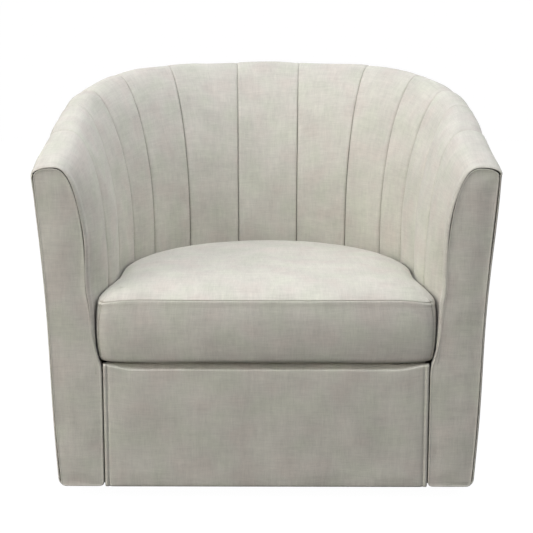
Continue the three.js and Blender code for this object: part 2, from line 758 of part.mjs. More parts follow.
// Points round the cushion at its widest, shrunk by an inset: a round back, drawn-in sides that
// open out towards the front, round corners and a slightly bowed front
function cushionOutline(inset) {
  const radius = cushionRadius - inset;
  const front = cushionFrontY + inset;
  const corner = cushionCorner;
  const sideLength = seatPlan.roundY - front - cushionFrontBow - corner;
  const frontHalf = radius + cushionFrontFlare - corner;
  const sections = [
    [radius * Math.PI / 2, (share) => {
      const angle = share * Math.PI / 2;
      return [radius * Math.sin(angle), seatPlan.roundY + radius * Math.cos(angle)];
    }],
    [sideLength, (share) => {
      const open = Math.max(1 - (1 - share) * sideLength / cushionFlareDepth, 0);
      const drawn = cushionDrawIn * Math.sin(share * Math.PI);
      return [radius + cushionFrontFlare * open - drawn, seatPlan.roundY - share * sideLength];
    }],
    [corner * Math.PI / 2, (share) => {
      const angle = share * Math.PI / 2;
      const y = front + cushionFrontBow + corner * (1 - Math.sin(angle));
      return [frontHalf + corner * Math.cos(angle), y];
    }],
    [frontHalf, (share) => [
      frontHalf * (1 - share), front + cushionFrontBow * (1 - share) ** 2,
    ]],
  ];
  const length = sections.reduce((sum, [part]) => sum + part, 0);
  const half = [];
  for (const [part, pointAt] of sections) {
    const steps = Math.max(Math.round(cushionOutlineSteps * part / length), 3);
    for (let i = 0; i < steps; i++) {
      half.push(new THREE.Vector2(...pointAt(i / steps)));
    }
  }
  const left = half.slice(1).map((p) => new THREE.Vector2(-p.x, p.y)).reverse();
  return [...half, new THREE.Vector2(0, front), ...left];
}

// The cushion's form, shrunk on all sides by an inset
function cushionForm(inset) {
  const outline = cushionOutline(inset);
  const middleY = (cushionFrontY + cushionBackY) / 2;
  const depth = cushionBackY - cushionFrontY;
  return loft(cushionRingShares.map(([shrinkShare, sideShare, crownShare]) => outline.map((p) => {
    const x = p.x * (1 - shrinkShare);
    const y = middleY + (p.y - middleY) * (1 - shrinkShare);
    const rise = cushionBackRise * (y - cushionFrontY) / depth;
    const side = sideShare * (cushionHeight + rise - 2 * inset);
    return new THREE.Vector3(x, y, cushionBottomZ + inset + side + crownShare * cushionCrown);
  })));
}

function cushionCover() {
  const slotDepth = cushionBackY + cutOverrun - seatPlan.roundY;
  const slot = new THREE.BoxGeometry(zipLength, slotDepth, zipSlot);
  slot.translate(0, seatPlan.roundY + slotDepth / 2, cushionBottomZ + cushionHeight / 2);
  return cut(cushionForm(0), cushionForm(cushionWall), slot);
}

function addCushion() {
  addPiece('cushion_cover', cushionCover(), fabric);
  addPiece('cushion_core', cushionForm(cushionWall + seatGap), foam);
}

// Swivel bearing: two plates with a race each, and the balls in their cage between them

function screwPlaces() {
  return [-1, 1].flatMap((across) => (
    [-1, 1].map((along) => [across * screwPlace, along * screwPlace])
  ));
}

// A plate lying on z = 0 with its race upwards
function bearingPlate() {
  const held = ballRadius + runningGap;
  const centreZ = bearingHeight / 2;
  const lip = [];
  for (let i = 0; i <= raceSteps; i++) {
    const angle = THREE.MathUtils.degToRad(raceHalfAngle * (2 * (i / raceSteps) - 1));
    lip.push([raceRadius + held * Math.sin(angle), centreZ - held * Math.cos(angle)]);
  }
  const reach = lip.at(-1)[0] - raceRadius + plateThickness;
  const foot = plateThickness / 2; // the race's foot lies inside the sheet that it is pressed from
  const race = turned([
    [raceRadius - reach, foot], [raceRadius - reach, lip[0][1]], ...lip,
    [raceRadius + reach, lip[0][1]], [raceRadius + reach, foot],
  ], 0, 0, raceSides);
  const sheet = extrudeUp(roundedSquare(plateWidth, plateCorner), 0, plateThickness);
  const holes = screwPlaces().map(([x, y]) => (
    cylinder(screwShank + seatGap, -cutOverrun, plateThickness + cutOverrun, x, y)
  ));
  const rivetHole = cylinder(rivetRadius + runningGap, -cutOverrun, cutOverrun, 0, 0, roundSides);
  return cut(joined(sheet, race), rivetHole, ...holes);
}

function ballCage() {
  const inner = raceRadius - cageWidth / 2;
  const outer = raceRadius + cageWidth / 2;
  const bottom = ballZ - cageThickness / 2;
  const top = ballZ + cageThickness / 2;
  const ring = turned(
    [[inner, bottom], [outer, bottom], [outer, top], [inner, top]], 0, 0, roundSides,
  );
  const balls = [];
  for (let i = 0; i < ballCount; i++) {
    const angle = (i / ballCount) * 2 * Math.PI;
    const ball = new THREE.SphereGeometry(ballRadius, ballSides, ballRings);
    ball.translate(raceRadius * Math.cos(angle), raceRadius * Math.sin(angle), ballZ);
    balls.push(ball);
  }
  return joined(ring, ...balls);
}

function centreRivet() {
  const flange = rivetRadius + rivetFlange;
  const bottom = bearingZ - seatGap;
  const top = bearingZ + bearingHeight + runningGap;
  return turned([
    [rivetBore, bottom - rivetLip], [flange, bottom - rivetLip], [flange, bottom],
    [rivetRadius, bottom], [rivetRadius, top], [flange, top], [flange, top + rivetLip],
    [rivetBore, top + rivetLip],
  ], 0, 0, roundSides / 2);
}

// A screw with its head's underside at z = 0 and its shank below
function screw(length) {
  const crown = screwHead / 2;
  return turned([
    [0, -length], [screwShank, screwPoint - length], [screwShank, 0], [screwHead, 0],
    [screwHead, screwHeadHeight / 2], [crown, screwHeadHeight], [0, screwHeadHeight],
  ], 0, 0, holeSides);
}

function addBearing() {
  addPiece('bearing_plate_lower', bearingPlate(), steel).position.z = bearingZ;
  const upper = addPiece('bearing_plate_upper', bearingPlate(), steel);
  upper.position.z = bearingZ + bearingHeight;
  upper.rotation.x = Math.PI;
  addPiece('ball_cage', ballCage(), steel);
  addPiece('centre_rivet', centreRivet(), steel);
  screwPlaces().forEach(([x, y], i) => {
    const down = addPiece(`base_screw_${i + 1}`, screw(baseScrewLength), steel);
    down.position.set(x, y, bearingZ + plateThickness + seatGap);
    const up = addPiece(`frame_bolt_${i + 1}`, screw(frameBoltLength), steel);
    up.position.set(x, y, bearingZ + bearingHeight - plateThickness - seatGap);
    up.rotation.x = Math.PI;
  });
}

// Base: riser board, round disc and glides

function screwHoles(bottomZ, topZ) {
  return screwPlaces().map(([x, y]) => cylinder(screwShank + seatGap, bottomZ, topZ, x, y));
}

function riserBoard() {
  const rivetRoom = cylinder(
    rivetRadius + rivetFlange + seatGap, riserBottomZ - cutOverrun, riserTopZ + cutOverrun,
    0, 0, roundSides / 2,
  );
  const board = extrudeUp(roundedSquare(plateWidth, plateCorner), riserBottomZ, riserTopZ);
  return cut(board, rivetRoom, ...screwHoles(riserBottomZ - cutOverrun, riserTopZ + cutOverrun));
}

function glidePlaces() {
  const places = [];
  for (let i = 0; i < glideCount; i++) {
    const angle = ((i + 0.5) / glideCount) * 2 * Math.PI;
    places.push([glideCircle * Math.cos(angle), glideCircle * Math.sin(angle)]);
  }
  return places;
}

function baseDisc() {
  const inner = baseRadius - baseChamfer;
  const disc = turned([
    [0, baseBottomZ], [inner, baseBottomZ], [baseRadius, baseBottomZ + baseChamfer],
    [baseRadius, baseTopZ - baseChamfer], [inner, baseTopZ], [0, baseTopZ],
  ], 0, 0, roundSides);
  const pinTop = glideHeight + glidePinLength + seatGap;
  const pinHoles = glidePlaces().map(([x, y]) => (
    cylinder(glidePin + seatGap, baseBottomZ - cutOverrun, pinTop, x, y)
  ));
  const tipZ = bearingZ + plateThickness - baseScrewLength - seatGap;
  return cut(disc, ...pinHoles, ...screwHoles(tipZ, baseTopZ + cutOverrun));
}

// A nylon foot with the pin that holds it in the base
function glide(x, y) {
  return turned([
    [0, 0], [glideRadius - glideChamfer, 0], [glideRadius, glideChamfer],
    [glideRadius, glideHeight], [glidePin, glideHeight],
    [glidePin, glideHeight + glidePinLength], [0, glideHeight + glidePinLength],
  ], x, y, holeSides);
}

function addBase() {
  addPiece('riser_board', riserBoard(), plywood);
  addPiece('base_disc', baseDisc(), blackBoard);
  glidePlaces().forEach(([x, y], i) => addPiece(`glide_${i + 1}`, glide(x, y), nylon));
}

addChannels();
addOutsideCovers();
addFrontPads();
addFrame();
addSeatDeck();
addCushion();
addBearing();
addBase();

export default chair;
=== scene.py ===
"""Looks of the swivel barrel chair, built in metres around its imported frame.

+Z is up, the sitter faces -Y, and the chair's middle plane is X = 0.
"""

import math
from collections import namedtuple

import bmesh
import bpy
import numpy as np
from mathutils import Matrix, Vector


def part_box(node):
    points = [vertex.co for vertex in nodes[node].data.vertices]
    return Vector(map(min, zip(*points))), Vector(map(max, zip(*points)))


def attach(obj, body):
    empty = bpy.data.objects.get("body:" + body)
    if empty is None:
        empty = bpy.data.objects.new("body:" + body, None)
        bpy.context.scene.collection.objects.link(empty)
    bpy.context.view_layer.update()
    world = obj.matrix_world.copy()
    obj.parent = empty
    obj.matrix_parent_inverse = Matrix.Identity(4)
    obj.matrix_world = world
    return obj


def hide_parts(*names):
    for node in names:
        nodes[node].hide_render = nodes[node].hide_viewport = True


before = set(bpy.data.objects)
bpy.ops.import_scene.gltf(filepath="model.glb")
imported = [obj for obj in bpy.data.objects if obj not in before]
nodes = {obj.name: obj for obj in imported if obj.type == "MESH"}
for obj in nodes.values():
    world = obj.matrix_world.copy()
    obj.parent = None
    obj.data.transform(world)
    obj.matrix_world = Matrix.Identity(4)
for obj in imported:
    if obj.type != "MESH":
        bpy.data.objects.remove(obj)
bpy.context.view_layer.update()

# Sizes of the tub, as in the part
OVERALL_WIDTH = 0.850
BODY_DEPTH = 0.750
CUSHION_OVERHANG = 0.012
BACK_EDGE_HEIGHT = 0.805
ARM_EDGE_HEIGHT = 0.613
RIM_LEVEL_REACH = 0.179
RIM_RAMP_REACH = 0.546
SEAT_HEIGHT = 0.400
FOOT_WIDTH = 0.778
FOOT_DEPTH = 0.680
SEAT_WIDTH = 0.600
SEAT_DEPTH = 0.545
ARM_FLARE = 0.030
ARM_FLARE_DEPTH = 0.150
CREST_INSET = 0.035
CREST_RISE = 0.011
SWEEP_HEIGHT = 0.450
SWEEP_POWER = 2.1
SWEEP_ROUND_SHARE = 0.7
CHANNEL_BULGE = 0.006
SEAT_SEAM_SHARES = [0.095, 0.263, 0.41, 0.528, 0.69, 0.888]
RIM_SEAM_SHARES = [0.082, 0.274, 0.4375, 0.565, 0.665, 0.825]
BACK_SEAM_SHARE = 0.396
APRON_HALF_WIDTH = 0.3037
APRON_TOP = 0.261
SILL_HEIGHT = 0.235
SILL_PLACE_SHARES = [[0, 0], [0.03, 0.12], [0.3, 0.24], [0.61, 0.5], [0.8, 0.82], [1, 1]]
CUSHION_HEIGHT = 0.1197
CUSHION_CROWN = 0.024
CUSHION_BACK_RISE = 0.027
CUSHION_SIDE_GAP = 0.0006
CUSHION_FRONT_FLARE = 0.0240
CUSHION_FLARE_DEPTH = 0.150
CUSHION_CORNER = 0.026
CUSHION_FRONT_BOW = 0.008
CUSHION_DRAW_IN = 0.0008

# Levels and planes, from the frame
FRONT_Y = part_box("arm_facing_left")[0].y
WALL_FRONT_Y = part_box("channel_01")[0].y
HEM_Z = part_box("outside_back")[0].z
CHANNEL_FOOT_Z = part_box("channel_07")[0].z
CUSHION_BOTTOM_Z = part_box("cushion_cover")[0].z

# Upholstery details
SEAM_ROLL = 0.0062  # radius at which a channel rolls into its seam
SEAM_DIP = 0.0042  # further fall of a channel from its middle to its seams
CREST_SEAM_SHARE = 0.30  # how deep the seams are over the rim, as a share of the face's
SEAM_HALF = 0.0006  # half the width of a seam between two panels
TUCK = 0.0014  # radius at which a channel's outer edge turns in to its seam
COVER_TUCK = 0.0007  # and at which the top of an outside cover does
WRAP_RADIUS = 0.006  # of the fabric that wraps round the front of the arms
TOP_WRAP_SHARE = 0.55  # how wide that wrap is where it faces up or out
COVER_FULLNESS = 0.0006  # how far the outside cover stands out from its frame on the whole
COVER_WAVE = 0.0022  # and how much more it does at its foot and its top than between them
COVER_WAVE_START_SHARE = 0.16  # of its height, where its foot stands out most
COVER_WAVE_LENGTH_SHARE = 0.9
COVER_TOP_EASE = 0.0022  # how much less the cover's top stands out behind the arms' fronts
COVER_TOP_SHARE = 0.8  # of its height, above which it does so
RIM_FULLNESS = 0.0024  # how far the rim stands out at the arms' fronts
RIM_CROWN = 0.0024  # how much higher the padding lies at the middle of the back
RIM_SAG = 0.0036  # and how much lower on either side of it
RIM_CROWN_SHARE = 0.2  # of the rim, over which it falls from the one to the other
SAG_END_SHARE = 0.6  # of the rim, where the sag starts to fade
SAG_FADE_SHARE = 0.3
FRONT_SHARE = 0.88  # of the plan and the rim, past which the arms' fronts fill out
FRONT_FADE_SHARE = 0.1

Plan = namedtuple("Plan", "radius round_y flare")
Ripple = namedtuple("Ripple", "depth wavelength seed")


def tub_plan(width, depth, flare=0.0):
    radius = width / 2
    return Plan(radius, FRONT_Y + depth - radius, flare)


FOOT = tub_plan(FOOT_WIDTH, FOOT_DEPTH)
RIM = tub_plan(OVERALL_WIDTH, BODY_DEPTH)
SEAT = tub_plan(SEAT_WIDTH, SEAT_DEPTH, ARM_FLARE)


# Curves and grids


def unit(v):
    return v / np.maximum(np.linalg.norm(v, axis=-1, keepdims=True), 1e-12)


def eased(x):
    x = np.clip(x, 0, 1)
    return x * x * (3 - 2 * x)


def mix(a, b, t):
    return a + (b - a) * t


def running(steps):
    """The sums of the steps so far, from zero."""
    return np.concatenate([[0], np.cumsum(steps)])


def lengths_along(line):
    return running(np.linalg.norm(np.diff(line, axis=0), axis=1))


def placed_along(line, lengths):
    """Points at some lengths along a polyline."""
    along = lengths_along(line)
    return np.stack([np.interp(lengths, along, column) for column in line.T], -1)


def resampled(line, count):
    """A polyline again with points evenly spaced along it."""
    line = np.asarray(line, float)
    return placed_along(line, np.linspace(0, lengths_along(line)[-1], count))


def averaged(padded, reach, half):
    """A padded polyline averaged over a reach in points, without the half width of its padding."""
    kernel = np.exp(-0.5 * (np.arange(-half, half + 1) / reach) ** 2)
    kernel /= kernel.sum()
    return np.stack([np.convolve(column, kernel, "valid") for column in padded.T], -1)


def softened(line, reach):
    """An evenly spaced polyline with its bends rounded over a reach in points, its ends held."""
    half = int(3 * reach)
    before = 2 * line[0] - line[half:0:-1]
    after = 2 * line[-1] - line[-2 : -half - 2 : -1]
    return averaged(np.concatenate([before, line, after]), reach, half)


def quarter_turn(count):
    """(1 - cosine, sine) at even steps of a quarter turn."""
    return [(1 - math.cos(a), math.sin(a)) for a in np.linspace(0, math.pi / 2, count)]


def grid_normals(grid):
    """Unit normals of a grid of points, crossing its first axis with its second."""
    return unit(np.cross(np.gradient(grid, axis=0), np.gradient(grid, axis=1)))


def wander(points, wavelength, seed, waves=14):
    """A smooth random field of about unit size over points, made of seeded plane waves."""
    random = np.random.RandomState(seed)
    directions = unit(random.normal(size=(waves, points.shape[-1])))
    lengths = wavelength * random.uniform(0.7, 1.6, waves)
    phases = random.uniform(0, 2 * math.pi, waves)
    turns = points @ (directions * (2 * math.pi / lengths)[:, None]).T + phases
    return np.sin(turns).sum(-1) * math.sqrt(2 / waves)


def rippled(points, ripple, number=0):
    return ripple.depth * wander(points, ripple.wavelength, ripple.seed + number)


# The tub


def plan_length(plan):
    return plan.radius * math.pi / 2 + plan.round_y - WALL_FRONT_Y


def plan_point(plan, share):
    """(x, y) at a share of a plan curve: -1 and 1 at the arms' fronts, 0 at the middle of the back."""
    along = abs(share) * plan_length(plan)
    arc = plan.radius * math.pi / 2
    angle = min(along, arc) / plan.radius
    y = plan.round_y + plan.radius * math.cos(angle) - max(along - arc, 0)
    flare_start = FRONT_Y + ARM_FLARE_DEPTH
    flared = max(flare_start - y, 0) / (flare_start - WALL_FRONT_Y)
    x = plan.radius * math.sin(angle) + plan.flare * flared**2
    return np.array([math.copysign(x, share), y])


RIM_LENGTH = plan_length(RIM)
RIM_SLOPE = (BACK_EDGE_HEIGHT - ARM_EDGE_HEIGHT) / (
    RIM_LENGTH + WALL_FRONT_Y - FRONT_Y - (RIM_LEVEL_REACH + RIM_RAMP_REACH) / 2
)


def edge_z(share):
    """Height of the rim's outer edge."""
    along = abs(share) * RIM_LENGTH
    ramp = RIM_RAMP_REACH - RIM_LEVEL_REACH
    past = min(max(along - RIM_LEVEL_REACH, 0), ramp)
    crown = RIM_CROWN - (RIM_CROWN + RIM_SAG) * eased(abs(share) / RIM_CROWN_SHARE)
    crown += RIM_SAG * eased((abs(share) - SAG_END_SHARE) / SAG_FADE_SHARE)
    fallen = past**2 / (2 * ramp) + max(along - RIM_RAMP_REACH, 0)
    return BACK_EDGE_HEIGHT + crown - RIM_SLOPE * fallen


def lowered(flat, y):
    """(x, z) points of the arm's front end as they lie at y, where the rim has fallen further."""
    share = np.clip((flat[:, 1] - SWEEP_HEIGHT) / (ARM_EDGE_HEIGHT - SWEEP_HEIGHT), 0, 1)
    fallen = flat.copy()
    fallen[:, 1] -= RIM_SLOPE * (WALL_FRONT_Y - y) * share
    return fallen


def front_fade(share):
    """0 along most of the plan or the rim, and 1 at the arms' fronts."""
    return eased((abs(share) - FRONT_SHARE) / FRONT_FADE_SHARE)


def fullness(share, plan_share=1):
    """How far the outside cover stands out at a share of its height and of the plan."""
    turn = 2 * math.pi * (share - COVER_WAVE_START_SHARE) / COVER_WAVE_LENGTH_SHARE
    top = eased((share - COVER_TOP_SHARE) / (1 - COVER_TOP_SHARE))
    ease = COVER_TOP_EASE * (1 - front_fade(plan_share)) * top
    return COVER_FULLNESS + COVER_WAVE * np.cos(turn) - ease


def sill_x(z):
    """Inner edge of an arm's front below the seat's height."""
    inner = APRON_HALF_WIDTH + SEAM_HALF
    outer = SEAT_WIDTH / 2 + ARM_FLARE
    across, up = np.array(SILL_PLACE_SHARES).T
    return np.interp(z, mix(SILL_HEIGHT, SEAT_HEIGHT, up), mix(inner, outer, across))


def crest_point(share):
    """(x, y) of the rim's crest, square in from its outer edge."""
    angle = min(abs(share) * RIM_LENGTH / RIM.radius, math.pi / 2)
    outward = np.array([math.copysign(math.sin(angle), share), math.cos(angle)])
    return plan_point(RIM, share) - outward * CREST_INSET


# How the sweep changes along one side of the tub: it starts sooner in the middle of the back and
# at the arm, where it also turns more sharply into the rim
MIDDLE_SHARE = 0.25
MIDDLE_POWER_CUT = 0.5
ARM_SHARE = 0.6
ARM_POWER_CUT = 0.4
ARM_ROUND_CUT_SHARE = 0.31

# Rows of points up the padded wall, and the reach in rows over which its bends are rounded
UPRIGHT_ROWS = 25
SWEEP_SAMPLES = 200
SWEEP_ROWS = 58
CREST_ROWS = 18
TUCK_ROWS = 5
WALL_SOFTNESS = 1.5


def sweep_shape(share):
    """The sweep's power and its roundness share."""
    middle = 1 - eased(abs(share) / MIDDLE_SHARE)
    front = eased((abs(share) - ARM_SHARE) / (1 - ARM_SHARE))
    power = SWEEP_POWER - MIDDLE_POWER_CUT * middle - ARM_POWER_CUT * front
    return power, SWEEP_ROUND_SHARE - ARM_ROUND_CUT_SHARE * front


def wall_section(seat_share, rim_share):
    """Points up the padded face, over the rim and in under its outer edge, with the size of the
    bulge and the depth of the seams at each."""
    rim, crest, seat = plan_point(RIM, rim_share), crest_point(rim_share), plan_point(SEAT, seat_share)
    outward = unit(rim - crest)
    edge = edge_z(rim_share)
    full = RIM_FULLNESS * front_fade(rim_share)
    crest_z = edge + CREST_RISE
    upright = np.linspace(CHANNEL_FOOT_Z, SWEEP_HEIGHT, UPRIGHT_ROWS)[:-1]
    rows = [[*seat, z, 1, 1] for z in upright]
    sweep = []
    power, roundness = sweep_shape(seat_share)
    for rise in np.sin(np.linspace(0, math.pi / 2, SWEEP_SAMPLES)):
        swept = 1 - (1 - rise**power) ** roundness
        depth = mix(1, CREST_SEAM_SHARE, eased(swept))
        sweep.append([*mix(seat, crest, swept), mix(SWEEP_HEIGHT, crest_z, rise), 1, depth])
    rows.extend(resampled(sweep, SWEEP_ROWS)[:-1])
    for fall, out in quarter_turn(CREST_ROWS):
        place = crest + outward * (CREST_INSET + full) * out
        rows.append([*place, crest_z - CREST_RISE * fall, 1 - fall, CREST_SEAM_SHARE])
    for turned, fall in quarter_turn(TUCK_ROWS)[1:]:
        place = rim + outward * (full - TUCK * turned)
        rows.append([*place, edge - TUCK * fall, 0, CREST_SEAM_SHARE])
    rows = softened(np.array(rows), WALL_SOFTNESS)
    return rows[:, :3], rows[:, 3], rows[:, 4]


def seam_distance(places, widths, no_left_seam, no_right_seam):
    """Distance of a panel's points from its nearer side seam, past reach where it has none."""
    return np.minimum(places * widths + no_left_seam, (1 - places) * widths + no_right_seam)


def seam_fall(distance, roll):
    """How far a panel has rolled down at a distance from its seam."""
    inside = np.clip(roll - distance, 0, roll)
    return roll - np.sqrt(roll**2 - inside**2)


FINE_PLACES = (0.0006, 0.0014, 0.0024, 0.0038, 0.006, 0.009)


def fine_ended(length, count, fine=FINE_PLACES):
    """Places from 0 to 1 along a length, closer together near both ends."""
    first = np.array([0, *fine]) / length
    middle = np.linspace(first[-1], 1 - first[-1], count)[1:-1]
    return np.concatenate([first, middle, 1 - first[::-1]])


# Meshes


def add_mesh(name, vertices, faces, uvs, material):
    """A smooth mesh piece. uvs gives the corners of each face in turn, in metres of cloth."""
    mesh = bpy.data.meshes.new(name)
    mesh.from_pydata(np.asarray(vertices).tolist(), [], [tuple(map(int, face)) for face in faces])
    layer = mesh.uv_layers.new(name="Weave")
    corners = np.concatenate([np.asarray(uv, float) for uv in uvs])
    layer.data.foreach_set("uv", corners.astype(np.float32).ravel())
    work = bmesh.new()
    work.from_mesh(mesh)
    bmesh.ops.recalc_face_normals(work, faces=work.faces)
    work.to_mesh(mesh)
    work.free()
    mesh.polygons.foreach_set("use_smooth", [True] * len(mesh.polygons))
    mesh.materials.append(material)
    piece = bpy.data.objects.new(name, mesh)
    bpy.context.scene.collection.objects.link(piece)
    return piece


def stand_in(piece, node, body="shell"):
    """A padded piece takes the place of its node, on the node's body."""
    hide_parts(node)
    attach(piece, body)


def quads(indices):
    """Faces between the rows and columns of a grid of vertex indices."""
    a, b, c, d = indices[:-1, :-1], indices[:-1, 1:], indices[1:, 1:], indices[1:, :-1]
    return np.stack([a, b, c, d], -1).reshape(-1, 4)


def surface_uv(grid):
    """(across, up) in metres along a grid's own surface, so that the weave follows it."""
    across = np.linalg.norm(np.diff(grid, axis=1), axis=-1).mean(0)
    up = np.linalg.norm(np.diff(grid, axis=0), axis=-1).mean(1)
    return np.stack(np.meshgrid(running(across), running(up)), -1)


def slab(name, face, back, material, cloth_place=(0, 0)):
    """A closed pad between two grids of points with the same rows and columns."""
    rows, columns = face.shape[:2]
    indices = np.arange(rows * columns).reshape(rows, columns)
    count = rows * columns
    uv = (surface_uv(face) + np.array(cloth_place)).reshape(-1, 2)
    faces = np.concatenate([quads(indices), quads(indices)[:, ::-1] + count])
    loop = np.concatenate([
        indices[0, :-1], indices[:-1, -1], indices[-1, :0:-1], indices[:0:-1, 0],
    ])
    after = np.roll(loop, -1)
    faces = np.concatenate([faces, np.stack([after, loop, loop + count, after + count], -1)])
    vertices = np.concatenate([face.reshape(-1, 3), back.reshape(-1, 3)])
    return add_mesh(name, vertices, faces, uv[faces % count], material)


def coons(ring, across, up):
    """A grid of points that fills a closed ring of four sides, of across and up steps."""
    closed = np.concatenate([ring, ring[:1]])
    bottom = closed[: across + 1]
    right = closed[across : across + up + 1]
    top = closed[across + up : 2 * across + up + 1][::-1]
    left = closed[2 * across + up :][::-1]

    def share(line):
        along = lengths_along(line)
        return along / along[-1]

    u = ((share(bottom) + share(top)) / 2)[None, :, None]
    v = ((share(left) + share(right)) / 2)[:, None, None]
    corners = (1 - u) * (1 - v) * bottom[0] + u * (1 - v) * bottom[-1]
    corners = corners + (1 - u) * v * top[0] + u * v * top[-1]
    return (1 - v) * bottom + v * top + (1 - u) * left[:, None] + u * right[:, None] - corners


def capped(name, rings, across, up, material, caps, band=(0, 0), axes=(0, 1)):
    """A closed solid of rings, each a loop of four sides, with a filled cap at both ends. caps are
    functions that shape a cap's grid. Strips of rings within band take their cloth along the loop,
    and the rest takes it flat, along two axes."""
    count = 2 * (across + up)
    first, last = (shape(coons(ring, across, up)) for shape, ring in zip(caps, (rings[0], rings[-1])))
    vertices = [np.concatenate(rings)]
    faces, uvs = [], []
    total = len(rings) * count
    for ring_index, grid in ((0, first), (len(rings) - 1, last)):
        indices = np.full(grid.shape[:2], -1)
        loop = np.arange(count) + ring_index * count
        indices[0, :] = loop[: across + 1]
        indices[:, -1] = loop[across : across + up + 1]
        indices[-1, ::-1] = loop[across + up : 2 * across + up + 1]
        indices[:, 0] = np.append(loop[2 * across + up :], loop[0])[::-1]
        inside = grid[1:-1, 1:-1].reshape(-1, 3)
        indices[1:-1, 1:-1] = (np.arange(len(inside)) + total).reshape(up - 1, across - 1)
        total += len(inside)
        vertices.append(inside)
        faces.append(quads(indices))
        uvs.append(None)
    vertices = np.concatenate(vertices)
    uvs = [vertices[group][..., list(axes)] for group in faces]
    loops = np.array(rings)
    along = running(np.linalg.norm(np.roll(loops, -1, 1) - loops, axis=-1).mean(0))
    rise = running(np.linalg.norm(np.diff(loops, axis=0), axis=-1).mean(1))
    here = np.arange(count)
    after = (here + 1) % count
    for i in range(len(rings) - 1):
        low, high = i * count, (i + 1) * count
        strip = np.stack([low + here, low + after, high + after, high + here], -1)
        faces.append(strip)
        if band[0] <= i < band[1]:
            u = np.stack([along[:-1], along[1:], along[1:], along[:-1]], -1)
            v = np.broadcast_to([rise[i], rise[i], rise[i + 1], rise[i + 1]], u.shape)
            uvs.append(np.stack([u, v], -1))
        else:
            uvs.append(vertices[strip][..., list(axes)])
    faces = np.concatenate(faces)
    return add_mesh(name, vertices, faces, np.concatenate(uvs), material)


# Materials

# Painted shade in creases, seams and gaps between parts: an occlusion node darkens the fabric's colour
# there. Its reach, samples and the colour of the shade
CREASE_SHADE_REACH = 0.008  # how close another surface has to be for the painted shade to darken the fabric
CREASE_SHADE_SAMPLES = 8
CREASE_SHADE_COLOUR = (0.34, 0.32, 0.28)
# Rates of noise and waves, per metre of cloth, with those of yarn along it and across it
SLUB_RATES = (48, 420)
BAND_RATES = (16, 110)
CLOUD_RATE = 13.0
PATCH_RATE = 17.0
WEAVE_RATE = 150.0
WEAVE_HEIGHT = 0.0009
PATCH_TINTS = [
    (0.34, (0.978, 1.0, 0.965)), (0.46, (1.0, 1.0, 0.988)),
    (0.54, (1.0, 0.990, 0.988)), (0.66, (1.0, 0.962, 0.966)),
]
GRAIN_RATES = (160, 9, 160)
FIGURE_RATES = (14, 2, 14)
WORN_SHARE = 1 / 12  # rate of a surface's wear, as a share of its fine mottle's


def node_material(name):
    material = bpy.data.materials.new(name)
    material.use_nodes = True
    tree = material.node_tree
    return material, tree, tree.nodes["Principled BSDF"]


class Nodes:
    """Short calls for building a node tree."""

    def __init__(self, tree):
        self.tree = tree

    def add(self, kind, inputs=(), **settings):
        node = self.tree.nodes.new(kind)
        for key, value in settings.items():
            setattr(node, key, value)
        self.set_all(node, dict(inputs))
        return node

    def set_all(self, node, values):
        for key, value in values.items():
            self.set(node, key, value)

    def set(self, node, key, value):
        if isinstance(value, bpy.types.NodeSocket):
            self.tree.links.new(value, node.inputs[key])
        else:
            node.inputs[key].default_value = value

    def math(self, operation, a, b=0.0):
        node = self.add("ShaderNodeMath", {0: a, 1: b}, operation=operation)
        return node.outputs[0]

    def scaled(self, vector, factors):
        node = self.add("ShaderNodeVectorMath", {0: vector, 1: factors}, operation="MULTIPLY")
        return node.outputs[0]

    def bump(self, strength, distance, height):
        inputs = {"Strength": strength, "Distance": distance, "Height": height}
        return self.add("ShaderNodeBump", inputs).outputs[0]

    def weighted(self, first, *others):
        """The sum of some values, each given with its weight."""
        total = self.math("MULTIPLY", *first)
        for other in others:
            total = self.math("ADD", total, self.math("MULTIPLY", *other))
        return total

    def noise(self, vector, scale, detail=2.0, roughness=0.5, distortion=0.0):
        inputs = {
            "Vector": vector,
            "Scale": scale,
            "Detail": detail,
            "Roughness": roughness,
            "Distortion": distortion,
        }
        return self.add("ShaderNodeTexNoise", inputs).outputs["Fac"]

    def ramp(self, value, stops):
        node = self.add("ShaderNodeValToRGB", {"Fac": value})
        elements = node.color_ramp.elements
        while len(elements) < len(stops):
            elements.new(0.5)
        for element, (place, colour) in zip(elements, stops):
            element.position = place
            element.color = (*colour, 1)
        return node.outputs["Color"]

    def blend(self, kind, amount, a, b):
        node = self.add("ShaderNodeMix", data_type="RGBA", blend_type=kind)
        self.set(node, 0, amount)
        self.set(node, 6, a)
        self.set(node, 7, b)
        return node.outputs[2]


